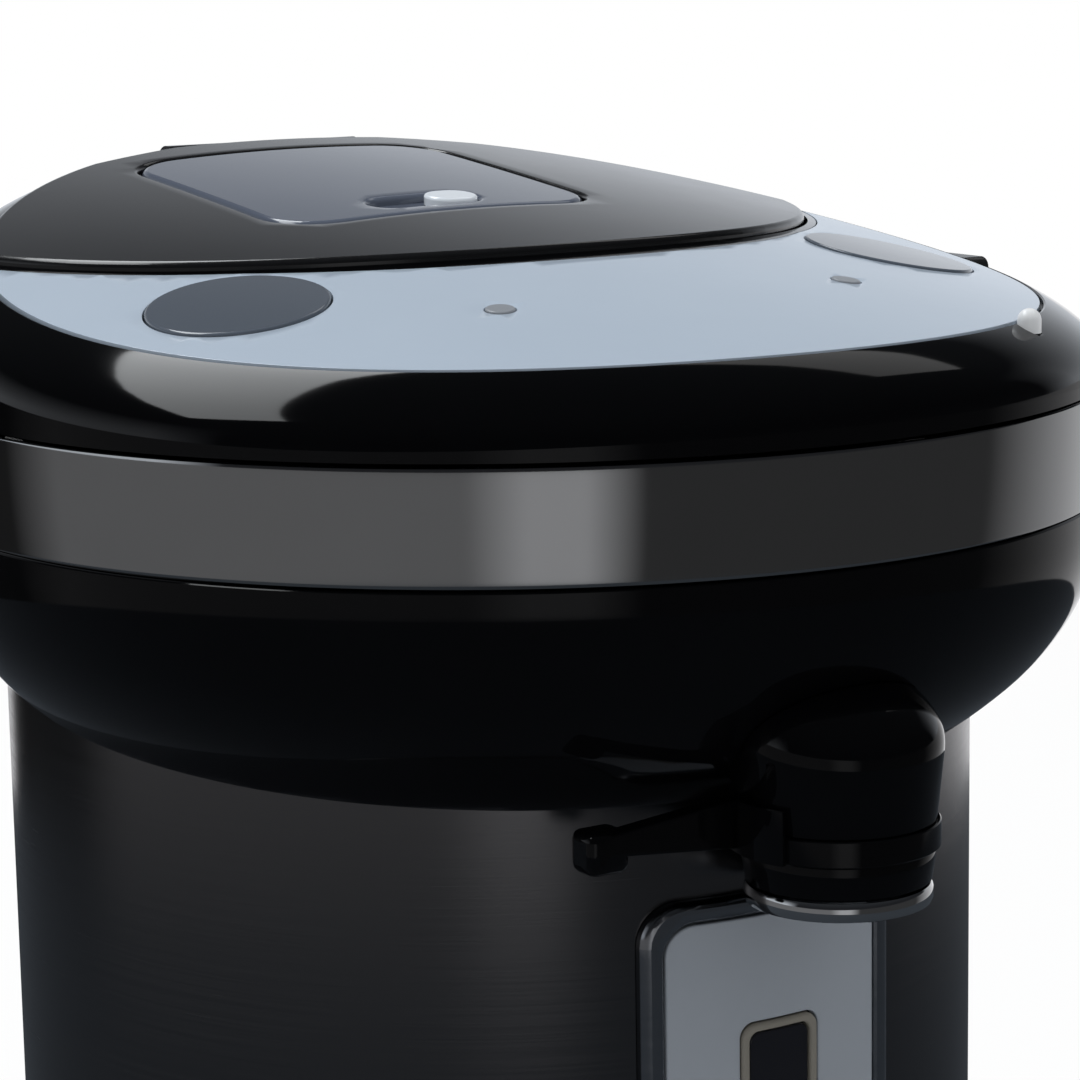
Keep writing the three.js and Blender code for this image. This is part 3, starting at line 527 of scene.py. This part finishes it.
# A smooth line through profile points
def smoothed(points, count=4):
    result = []
    for i in range(len(points) - 1):
        p0, p1, p2, p3 = (points[max(i - 1, 0)], points[i], points[i + 1], points[min(i + 2, len(points) - 1)])
        for k in range(count):
            t = k / count
            result.append(tuple(0.5 * ((2 * b) + (c - a) * t + (2 * a - 5 * b + 4 * c - d) * t * t
                                       + (3 * b - a - 3 * c + d) * t ** 3)
                                for a, b, c, d in zip(p0, p1, p2, p3)))
    return result + [points[-1]]


# Head: bowl, band and rim
bowl = {"profile": [(80, 219), (90, 222.2), (99, 228.4), (107.5, 236.4), (114.2, 246.4), (117.6, 257), (118.6, 267.6)],
        "inside": [(115.7, 268), (115.7, 286), (113.3, 286), (113.3, 262), (104, 238), (86, 224), (80, 221.6)]}
bowlPiece = turnedPiece("headBowl", smoothed(bowl["profile"]) + [(118.3, 268)] + bowl["inside"], steps=200, closed=True)
cut(bowlPiece, pegTool(0, 0, 100.3, 150, 360, 256))
cut(bowlPiece, pegTool(0, -120, 4.3, 190, 262))
settle(bowlPiece, "glossBlack", "lower_shell")

band = {"profile": [(116, 268.3), (118.5, 268.3), (118.9, 268.6), (119, 269.2), (119, 288.8), (118.9, 289.4), (118.5, 289.7),
                    (116, 289.7)]}
settle(turnedPiece("headBand", band["profile"], steps=240, closed=True), "smokedChrome", "chrome_band")

lidPlan = {"side": 105.7, "arc": 105, "arcCentre": 65, "rear": 88, "corner": 82, "rearHalf": 26}


def lidOutline(grow, rounding=0, frontSteps=72, sideSteps=24):
    side, front = lidPlan["side"] + grow, lidPlan["arc"] + grow
    span = lidPlan["arcCentre"] + pot["headShift"]
    fromHead = (side * side - front * front + span * span) / (2 * span)
    sideAngle, frontAngle = math.asin(fromHead / side), math.asin((fromHead - span) / front)
    rearAngle = math.asin((lidPlan["corner"] + grow + pot["headShift"]) / side)
    right = arc(0, -pot["headShift"], side, sideAngle, rearAngle, sideSteps)
    left = arc(0, -pot["headShift"], side, math.pi - rearAngle, math.pi - sideAngle, sideSteps)
    nose = arc(0, lidPlan["arcCentre"], front, math.pi - frontAngle, math.pi * 2 + frontAngle, frontSteps)[1:-1]
    rear = [(lidPlan["rearHalf"] + grow, lidPlan["rear"] + grow), (-lidPlan["rearHalf"] - grow, lidPlan["rear"] + grow)]
    if not rounding:
        return right + rear + left + nose
    marked = [(*right[0], rounding)] + right[3:] + rear + left[:-3] + [(*left[-1], rounding)] + nose[2:-2]
    return filleted(marked, closed=True, count=8)


def slab(name, radius, below, above, spacing=3.0):
    piece = flatPiece(name, arc(*headCentre, radius, 0, 2 * math.pi * 199 / 200, 199), below, above)
    return drape(gridCut(piece, spacing))


rim = {"outer": [(115.4, 290.3), (119, 290.3), (119, -9.4), (118.85, -8.2), (118.4, -6.8), (117.6, -5.5),
                 (116.5, -4.35), (115.1, -3.3), (113.4, -2.35), (111.5, -1.5), (109.6, -0.8), (107.8, -0.25), (106.9, -0.05), (106.5, -0.25), (106.3, -0.7)],
       "deck": -2.6, "under": -5.0, "wellInset": -5, "rings": [106.3, 92, 78, 62, 46, 30, 15, 0]}
deck = [(r, rim["deck"]) for r in rim["rings"]] + [(r, rim["under"]) for r in reversed(rim["rings"])]
strip = {"inner": 0.8, "outer": 2.6, "noseRadius": 97.9, "noseCentre": 52.4, "height": -0.1}
rimPiece = drape(turnedPiece("headRim", rim["outer"] + deck + [(108, rim["under"]), (115.4, -8.6)], steps=200, closed=True))
cut(rimPiece, flatPiece("hole", lidOutline(rim["wellInset"]), 240, 360))
hinge = {"y": 95.5, "knuckle": 5, "half": 24, "lug": 38}
hinge["z"] = topAt(0, hinge["y"]) - hinge["knuckle"]
border = flatPiece("border", arc(0, strip["noseCentre"], strip["noseRadius"], 0, 2 * math.pi * 239 / 240, 239), -3.2,
                   strip["height"])
cut(border, blockTool(-150, 150, 12, 200, -10, 10))
sides = flatPiece("sides", lidOutline(strip["outer"]), -3.2, strip["height"])
cut(sides, blockTool(-150, 150, 24, 150, -10, 10))
cut(border, sides, "UNION")
cut(border, pegTool(*headCentre, 106.1, -10, 10, 240), "INTERSECT")
cut(border, flatPiece("hole", lidOutline(strip["inner"]), -10, 10))
bevelEdges(border, 0.3, topEdges, 2)
cut(rimPiece, drape(gridCut(border, 5)), "UNION")
lugs = blockTool(-hinge["lug"], hinge["lug"], 90, 104, hinge["z"] - 12, hinge["z"] + 20)
cut(lugs, slab("above", 136, -0.3, 60))
shoulder = [(r - 0.1, z - 0.15) for r, z in rim["outer"][2:]]
cut(lugs, drape(turnedPiece("shoulder", shoulder + [(106.2, 60), (136, 60), (136, -9.5)], steps=200, closed=True)))
cut(rimPiece, lugs, "UNION")
cut(rimPiece, blockTool(-24.6, 24.6, 60, 102, hinge["z"] - 6.5, hinge["z"] + 30))
cut(rimPiece, rodTool(2.7, (-36.4, hinge["y"], hinge["z"]), (36.4, hinge["y"], hinge["z"])))
keys = {"x": 76, "y": -38, "radius": 17.25, "ledX": 39.5, "ledY": -71, "ledRadius": 2.8, "pilot": (57.4, -104.4, 2.3)}
for side in (-1, 1):
    cut(rimPiece, pegTool(side * keys["x"], keys["y"], 3.3, 280, 330, 32))
cut(rimPiece, pegTool(keys["pilot"][0], keys["pilot"][1], 2.6, topAt(*keys["pilot"][:2]) - 1.8, 330, 32))
settle(finishMesh(rimPiece), "glossBlack", "upper_shell")

# Control panel with its key and lamp holes
panel = flatPiece("controlDeck", arc(*headCentre, 105.7, 0, 2 * math.pi * 239 / 240, 239), -2, 0)
cut(panel, flatPiece("hole", lidOutline(strip["outer"] + pot["gap"]), -10, 10))
cut(panel, pegTool(0, strip["noseCentre"], strip["noseRadius"] + pot["gap"], -10, 10, 240))
cut(panel, blockTool(-150, 150, 26, 150, -10, 10))
for side in (-1, 1):
    cut(panel, pegTool(side * keys["x"], keys["y"], keys["radius"] + 0.4, -10, 10, 96))
    cut(panel, pegTool(side * keys["ledX"], keys["ledY"], keys["ledRadius"] + 0.3, -10, 10, 48))
bevelEdges(panel, 0.4, topEdges, 2)
settle(drape(gridCut(panel, 5)), "panelPrint", "control_panel")
for side, label in ((-1, "left"), (1, "right")):
    x = side * keys["x"]
    key = flatPiece(label + "Key", arc(x, keys["y"], keys["radius"], 0, 2 * math.pi * 95 / 96, 95), -1.0, 0.5)
    bevelEdges(key, 0.4, topEdges, 3)
    drape(gridCut(key, 5))
    stemTop = topAt(x, keys["y"])
    settle(joined(label + "Key", [key, pegTool(x, keys["y"], 3, stemTop - 8, stemTop - 0.9, 32)]), "keyGrey",
           label + "_button")
    lamp = flatPiece(label + "LampDot", arc(side * keys["ledX"], keys["ledY"], keys["ledRadius"], 0,
                                            2 * math.pi * 47 / 48, 47), -2, 0.3)
    bevelEdges(lamp, 0.3, topEdges, 3)
    settle(drape(lamp), "lampLens", label + "_lamp")
seat = topAt(*keys["pilot"][:2]) - 1.5
settle(turnedPiece("pilotDome", [(0, seat), (2.3, seat), (2.3, seat + 2.4)] + arc(0, seat + 2.4, 2.3, 0, math.pi / 2, 8)[1:],
                   keys["pilot"][:2], 48), "whiteLens", "pilot_lens")

# Lid shell with the opening for the pump plate
lid = {"under": -2.3, "step": 1.5, "edge": 1.0}
plate = {"x": -8, "y": 36, "halfX": 37, "halfY": 38, "corner": 12, "skirt": 9}
lidPiece = flatPiece("lidCover", lidOutline(0), lid["under"], lid["step"])
cut(lidPiece, flatPiece("hole", roundedRect(plate["x"], plate["y"], plate["halfX"] + 0.8, plate["halfY"] + 0.8, 12.8),
                        -10, 10))
bevelEdges(lidPiece, lid["edge"], topEdges, 4)
drape(gridCut(lidPiece, 5))
bridge = blockTool(-hinge["half"], hinge["half"], 84, 95.5, hinge["z"] - 2, hinge["z"] + 3.9)
cut(bridge, slab("above", 136, 1.2, 60))
cut(lidPiece, bridge, "UNION")
cut(lidPiece, rodTool(5, (-24, hinge["y"], hinge["z"]), (24, hinge["y"], hinge["z"])), "UNION")
cut(lidPiece, rodTool(2.7, (-60, hinge["y"], hinge["z"]), (60, hinge["y"], hinge["z"])))
settle(lidPiece, "lidBlack", "lid_shell")

# Pump plate and its lock slider
knob = {"x": -8.8, "y": 8, "half": 12.5, "wide": 5, "depth": 1.8, "travel": 13}


def stadium(x, y, halfLong, halfWide, count=12):
    return (arc(x + halfLong - halfWide, y, halfWide, -math.pi / 2, math.pi / 2, count)
            + arc(x - halfLong + halfWide, y, halfWide, math.pi / 2, math.pi * 1.5, count))


platePiece = flatPiece("pumpPlate", roundedRect(plate["x"], plate["y"], plate["halfX"], plate["halfY"], plate["corner"]),
                       -plate["skirt"], lid["step"])
cut(platePiece, flatPiece("hole", roundedRect(plate["x"], plate["y"], plate["halfX"] - 2, plate["halfY"] - 2, 10), -40, -1.5))
cut(platePiece, flatPiece("hole", stadium(knob["x"], knob["y"], knob["half"], knob["wide"]), lid["step"] - knob["depth"], 20))
bevelEdges(platePiece, 1.2, lambda e, normals: any(n.z > 0.9 for n in normals) and min((v.co.z for v in e.verts)) > 0.001, 4)
drape(gridCut(platePiece, 4))
bossTop = topAt(plate["x"], plate["y"]) - 1
boss = turnedPiece("boss", [(0, 312.3), (10, 312.3), (10, bossTop), (0, bossTop)], (plate["x"], plate["y"]), 48)
settle(joined("pumpPlate", [platePiece, boss]), "slatePlate", "press_plate")
knobHalf = knob["half"] - 0.3 - knob["travel"] / 2
slider = flatPiece("lockKnob", stadium(knob["x"] + knob["travel"] / 2, knob["y"], knobHalf, knob["wide"] - 0.3), 0.0, 2.1)
bevelEdges(slider, 0.6, topEdges, 3)
settle(drape(gridCut(slider, 2)), "knobSilver", "lock_slider")

# Lid well, plug and gasket
well = {"outer": -5.3, "inner": -7.5, "floor": 296, "wall": 2.2, "back": 25, "radius": 57.5}
wellPiece = flatPiece("lidRecess", lidOutline(well["outer"]), well["floor"], 345)
cut(wellPiece, flatPiece("hole", lidOutline(well["inner"]), well["floor"] + well["wall"], 350))
cut(wellPiece, pegTool(0, well["back"], well["radius"], 250, 350, 160))
tube = pegTool(0, well["back"], well["radius"] + well["wall"], 267.1, 297, 160)
cut(tube, pegTool(0, well["back"], well["radius"], 250, 350, 160))
cut(wellPiece, tube, "UNION")
cut(wellPiece, slab("above", 136, -2.6, 60))
settle(finishMesh(wellPiece), "darkPlastic", "lid_well")
plug = {"profile": [(0, 270), (41, 270), (42.4, 270.6), (53.2, 298), (53.5, 299), (53.5, 345), (51.1, 345), (51.1, 299.6),
                    (40.4, 272.4), (0, 272.4)]}
plugPiece = turnedPiece("lidPlug", plug["profile"], (0, well["back"]), 160)
cut(plugPiece, slab("above", 136, -2.6, 60))
cut(plugPiece, flatPiece("hole", roundedRect(plate["x"], plate["y"], plate["halfX"] + 1.5, plate["halfY"] + 1.5, 13.5),
                         301.5, 360))
settle(finishMesh(plugPiece), "darkPlastic", "inner_lid")
settle(turnedPiece("lidSeal", [(35, 267.7), (35.6, 267.1), (40.2, 267.1), (41, 267.9), (41, 269.7), (35, 269.7)],
                   (0, well["back"]), closed=True), "siliconeGrey", "lid_gasket")

# Spout cup with its collar, ring and nozzle
spout = {
    "cup": [(0, 209.2), (16.6, 209.2), (17.0, 209.6), (17.5, 213), (17.7, 215.4), (17.6, 215.6), (17.6, 220.7), (17.9, 220.9),
            (18.2, 224), (18.6, 228), (19.0, 232), (19.3, 235.5), (19.2, 238), (18.5, 240.6), (17.2, 243.0),
            (15.2, 245.4), (12.4, 247.6), (9, 249.4), (0, 250.4)],
    "leanFrom": 233, "lean": 0.05, "leanMost": 12, "bore": (14.6, 231.5), "pipeBore": 4.3,
    "ring": [(14.6, 205.5), (15.4, 205.2), (16.2, 205.2), (16.9, 205.5), (17.2, 206.2), (17.2, 208.2), (16.8, 208.9),
             (14.6, 208.9)],
    "nozzle": [(3.6, 207), (5.2, 207), (5.6, 208), (6.2, 214), (6.2, 221), (14.3, 221), (14.3, 223.4), (6.2, 223.4),
               (6.2, 236), (3.6, 236)],
}
cup = turnedPiece("spoutCup", spout["cup"][:8] + smoothed(spout["cup"][8:18], 3) + spout["cup"][18:], spoutCentre, 128)
for vertex in cup.data.vertices:
    rise = vertex.co.z / mm - spout["leanFrom"]
    if rise > 0:
        vertex.co.y += min(spout["lean"] * rise * rise, spout["leanMost"]) * mm
bowlTool = turnedPiece("bowlTool", [(0, 218.7)] + [(r + 0.3, z - 0.3) for r, z in smoothed(bowl["profile"])]
                       + [(118.9, 300), (0, 300)], steps=200)
cut(cup, bowlTool)
cut(cup, pegTool(*spoutCentre, spout["bore"][0], 200, spout["bore"][1], 128))
cut(cup, pegTool(*spoutCentre, spout["pipeBore"], 200, 262))
cut(cup, pegTool(0, 0, 100.5, 150, 360, 256))
settle(finishMesh(cup), "glossBlack", "spout_cover")
settle(turnedPiece("spoutTrim", spout["ring"], spoutCentre, 128, closed=True), "brightChrome", "spout_ring")
settle(turnedPiece("spoutNozzle", spout["nozzle"], spoutCentre, 64, closed=True), "darkPlastic", "spout_nozzle")
lever = {"inner": 17.9, "outer": 18.6, "bottom": 215.8, "ringTop": 220.6, "top": 225.6,
         "arm": [(-17.6, 216.2), (-17.6, 225.6), (-46, 223.0), (-46, 219.0)], "tab": (-50, -41.5, -115, -107.5, 215.6, 223.6)}
hoop = turnedPiece("spoutLever", [(lever["inner"], lever["bottom"]), (lever["outer"] - 0.2, lever["bottom"]),
                   (lever["outer"], lever["bottom"] + 0.2), (lever["outer"], lever["ringTop"] - 0.2),
                   (lever["outer"] - 0.2, lever["ringTop"]), (lever["inner"], lever["ringTop"])],
                   spoutCentre, 128, closed=True)
fan = flatPiece("fan", arc(*spoutCentre, 19.9, math.pi * 0.86, math.pi * 1.13, 24)
                + arc(*spoutCentre, 18.9, math.pi * 1.13, math.pi * 0.86, 24), lever["bottom"], lever["top"])
cut(hoop, fan, "UNION")
arm = flatPiece("arm", lever["arm"], -2, 2)
for vertex in arm.data.vertices:
    vertex.co = (vertex.co.x, -0.113 - vertex.co.z, vertex.co.y)
finishMesh(arm)
bevelEdges(arm, 0.5, lambda e, n: True, 2)
cut(hoop, arm, "UNION")
tab = blockTool(*lever["tab"], round=1.8)
cut(hoop, tab, "UNION")
settle(finishMesh(hoop), "glossBlack", "spout_lever")

# Carry handle and its pivots
handle = {"path": [(124.5, -9), (124.5, 30), (122, 60), (110, 94), (86, 119), (50, 133.5), (0, 137.3)], "thick": 5,
          "bottom": 291, "top": 306, "pivotZ": 298.5}
half = smoothed(handle["path"], 10)
line = half + [(-x, y) for x, y in reversed(half[:-1])]
outer, inner = [], []
for i, (x, y) in enumerate(line):
    a, b = Vector(line[max(i - 1, 0)]), Vector(line[min(i + 1, len(line) - 1)])
    across = (b - a).normalized() * handle["thick"] / 2
    outer.append((x + across.y, y - across.x))
    inner.append((x - across.y, y + across.x))
bail = flatPiece("carryBail", outer + inner[::-1], handle["bottom"], handle["top"])
cut(bail, rodTool(3.3, (-150, 0, 298.5), (150, 0, 298.5), 48))
bevelEdges(bail, 6, lambda e, normals: all(v.co.y < -0.0085 for v in e.verts)
           and abs(e.verts[0].co.x - e.verts[1].co.x) > 0.002, 6)
bevelEdges(bail, 1.6, lambda e, normals: any(abs(n.z) > 0.9 for n in normals), 3)
settle(bail, "satinBlack", "carry_handle")
for side, label in ((-1, "left"), (1, "right")):
    pivot = turnedPiece(label + "Pivot", [(0, 119.3), (5.6, 119.3), (6.1, 119.6), (6.1, 121.7), (3, 121.7),
                        (3, 127.3), (5.8, 127.3), (5.8, 127.9), (4.9, 128.7), (4, 128.9), (0, 128.9)], (0, 0), 64)
    for vertex in pivot.data.vertices:
        vertex.co = (side * vertex.co.z, side * vertex.co.y, handle["pivotZ"] * mm - vertex.co.x)
    settle(finishMesh(pivot), "darkPlastic", "handle_pivot_" + label)

# Finishes of the solids that stay
kept = {
    "swivel_washer": "potSteel", "swivel_screw": "potSteel", "inlet_pin_left": "brightChrome",
    "inlet_pin_right": "brightChrome", "inlet_pin_earth": "brightChrome", "heater_plate": "potSteel", "thermostat": "darkPlastic", "pump_motor": "potSteel",
    "pump_head": "darkPlastic", "riser_elbow": "siliconeGrey", "feed_hose": "siliconeGrey", "sight_tube": "siliconeGrey",
    "outlet_pipe": "siliconeGrey", "power_board": "boardGreen", "button_board": "boardGreen", "bellows": "siliconeGrey",
    "hinge_pin": "potSteel",
}
for node, finish in kept.items():
    for place in frame["nodes"][node].material_slots:
        place.material = finishes[finish]
print("kept solids finished")

# Floor, light and camera
deselectAll()
studio = {
    "floor": 3.0, "fill": 0.55, "sweep": (0.80, 0.84, 0.90), "sweepSide": -0.05, "sweepTop": 0.50,
    "room": [(0.0, (0.02, 0.022, 0.026)), (0.5, (0.03, 0.031, 0.034)), (0.62, (0.02, 0.021, 0.024)),
             (1.0, (0.05, 0.055, 0.06))],
    "wallFar": 0.86, "wallHigh": 0.30,
    "wall": [(-180, 0.02), (-135, 0.02), (-120, 0.2), (-40, 0.2), (-30, 0.5), (-20, 0.5), (-10, 0.05), (60, 0.05),
             (120, 1.0)],
}
bpy.ops.mesh.primitive_plane_add(size=studio["floor"], location=(0, 0, 0))
floor = bpy.context.object
floor.name = "studioFloor"
floorShader = Shader("studioFloor")
floorTone = floorShader.noise(3, 2)
pale = floorShader.node("ShaderNodeBsdfDiffuse", None, {"Color": floorShader.mix(floorTone, colour((0.78, 0.78, 0.79)),
                        colour((0.82, 0.82, 0.83)))})
dim = floorShader.node("ShaderNodeBsdfDiffuse", None, {"Color": colour((0.014, 0.021, 0.030))})
white = floorShader.node("ShaderNodeEmission", None, {"Color": colour((1, 1, 1)), "Strength": 1.0})
seen = floorShader.node("ShaderNodeLightPath", output="Is Camera Ray")
mirrored = floorShader.node("ShaderNodeLightPath", output="Is Glossy Ray")
plainFloor = floorShader.node("ShaderNodeMixShader", None, {0: mirrored * 0.95, 1: pale, 2: dim})
bothFloor = floorShader.node("ShaderNodeMixShader", None, {0: seen * 0.90, 1: plainFloor, 2: white})
for output in [n for n in floorShader.tree.nodes if n.type == "OUTPUT_MATERIAL"]:
    floorShader.tree.links.new(bothFloor.link, output.inputs["Surface"])
floor.data.materials.append(floorShader.material)

# The studio: a white sweep low behind the pot, a dim room in front of it and overhead
world = bpy.context.scene.world or bpy.data.worlds.new("studio")
bpy.context.scene.world = world
world.use_nodes = True
sky = Shader("studio", world.node_tree)
world.node_tree.nodes.clear()
direction = sky.node("ShaderNodeTexCoord", output="Generated")
depth = sky.node("ShaderNodeSeparateXYZ", None, {"Vector": direction}, "Y")
height = sky.node("ShaderNodeSeparateXYZ", None, {"Vector": direction}, "Z")
sweep = ((depth - studio["sweepSide"]) * 4).clamped() * ((studio["sweepTop"] - height) * 2.4).clamped()
camera = sky.node("ShaderNodeLightPath", output="Is Camera Ray")
glossy = sky.node("ShaderNodeLightPath", output="Is Glossy Ray")
through = sky.node("ShaderNodeLightPath", output="Is Transmission Ray")
diffuse = sky.node("ShaderNodeLightPath", output="Is Diffuse Ray")
showsWhite = (camera + (glossy + through) * sweep).clamped()
fill = sky.node("ShaderNodeBackground", None, {"Color": (0.95, 0.98, 1.0, 1), "Strength": studio["fill"]})
tone = sky.node("ShaderNodeValToRGB", {"stops": studio["room"]}, {"Fac": height * 0.5 + 0.5})
room = sky.node("ShaderNodeBackground", None, {"Color": tone, "Strength": 1.0})
shown = sky.mix(camera, colour(studio["sweep"]), colour((1, 1, 1)))
white = sky.node("ShaderNodeBackground", None, {"Color": shown, "Strength": 1.0})
lit = sky.node("ShaderNodeMixShader", None, {0: diffuse, 1: room, 2: fill})
both = sky.node("ShaderNodeMixShader", None, {0: showsWhite, 1: lit, 2: white})
sky.node("ShaderNodeOutputWorld", None, {"Surface": both})


def softbox(name, place, target, size, power, tint=(1, 1, 1)):
    deselectAll()
    bpy.ops.object.light_add(type="AREA", location=place)
    lamp = bpy.context.object
    lamp.name = name
    lamp.data.shape = "RECTANGLE"
    lamp.data.size, lamp.data.size_y = size
    lamp.data.energy = power
    lamp.data.color = tint
    lamp.rotation_euler = (Vector(target) - Vector(place)).to_track_quat("-Z", "Y").to_euler()
    return lamp


softbox("overheadRear", (-0.55, 0.85, 2.0), (0, 0, 0.3), (2.4, 0.6), 27, (0.95, 0.98, 1.0))
softbox("overheadRight", (1.35, 0.75, 1.9), (0, 0, 0.3), (1.2, 0.5), 1.5)
softbox("overheadFront", (0.1, -0.8, 2.2), (0, 0, 0.2), (1.8, 1.1), 10).visible_glossy = False
softbox("windowLeft", (-2.0, 0.5, 1.0), (0, 0, 0.25), (0.9, 1.2), 2.0).visible_glossy = False
softbox("windowRight", (1.9, -0.2, 0.9), (0, 0, 0.25), (0.5, 1.2), 3).visible_glossy = False

# A low wall round the pot, pale on its left and dim on its right, which only the shiny parts show
deselectAll()
bpy.ops.mesh.primitive_cylinder_add(vertices=96, radius=studio["wallFar"], depth=studio["wallHigh"], end_fill_type="NOTHING",
                                    location=(0, 0, studio["wallHigh"] / 2))
wall = bpy.context.object
wall.name = "studioWall"
wallShader = Shader("studioWall")
around = wallShader.node("ShaderNodeTexCoord", output="Object")
across = wallShader.node("ShaderNodeSeparateXYZ", None, {"Vector": around}, "X")
along = wallShader.node("ShaderNodeSeparateXYZ", None, {"Vector": around}, "Y")
turn = across.math("ARCTAN2", along * -1.0) * (0.5 / math.pi) + 0.5
stops = [(azimuth / 360 + 0.5, (bright, bright, bright * 1.02)) for azimuth, bright in studio["wall"]]
boards = wallShader.node("ShaderNodeValToRGB", {"stops": stops}, {"Fac": turn})
glow = wallShader.node("ShaderNodeEmission", None, {"Color": boards, "Strength": 1.0})
for output in [n for n in wallShader.tree.nodes if n.type == "OUTPUT_MATERIAL"]:
    wallShader.tree.links.new(glow.link, output.inputs["Surface"])
wall.data.materials.append(wallShader.material)
wall.visible_camera = wall.visible_diffuse = wall.visible_shadow = wall.visible_transmission = False

view = {"place": (-0.3631, -0.5961, 0.3779), "pitch": 10.05, "roll": 0.98, "lens": 113.33, "right": (0.8457, -0.5336)}
pitch, roll = math.radians(view["pitch"]), math.radians(view["roll"])
level = Vector((*view["right"], 0)).normalized()
forward = Vector((-level.y * math.cos(pitch), level.x * math.cos(pitch), -math.sin(pitch)))
upright = level.cross(forward)
right = level * math.cos(roll) - upright * math.sin(roll)
up = level * math.sin(roll) + upright * math.cos(roll)
cameraData = bpy.data.cameras.new("photoCamera")
camera = bpy.data.objects.new("photoCamera", cameraData)
bpy.context.scene.collection.objects.link(camera)
cameraData.lens, cameraData.sensor_width = view["lens"], 36
camera.matrix_world = Matrix.Translation(view["place"]) @ Matrix((right, up, -forward)).transposed().to_4x4()
bpy.context.scene.camera = camera
bpy.context.scene.view_settings.view_transform = "Standard"
print("camera set")
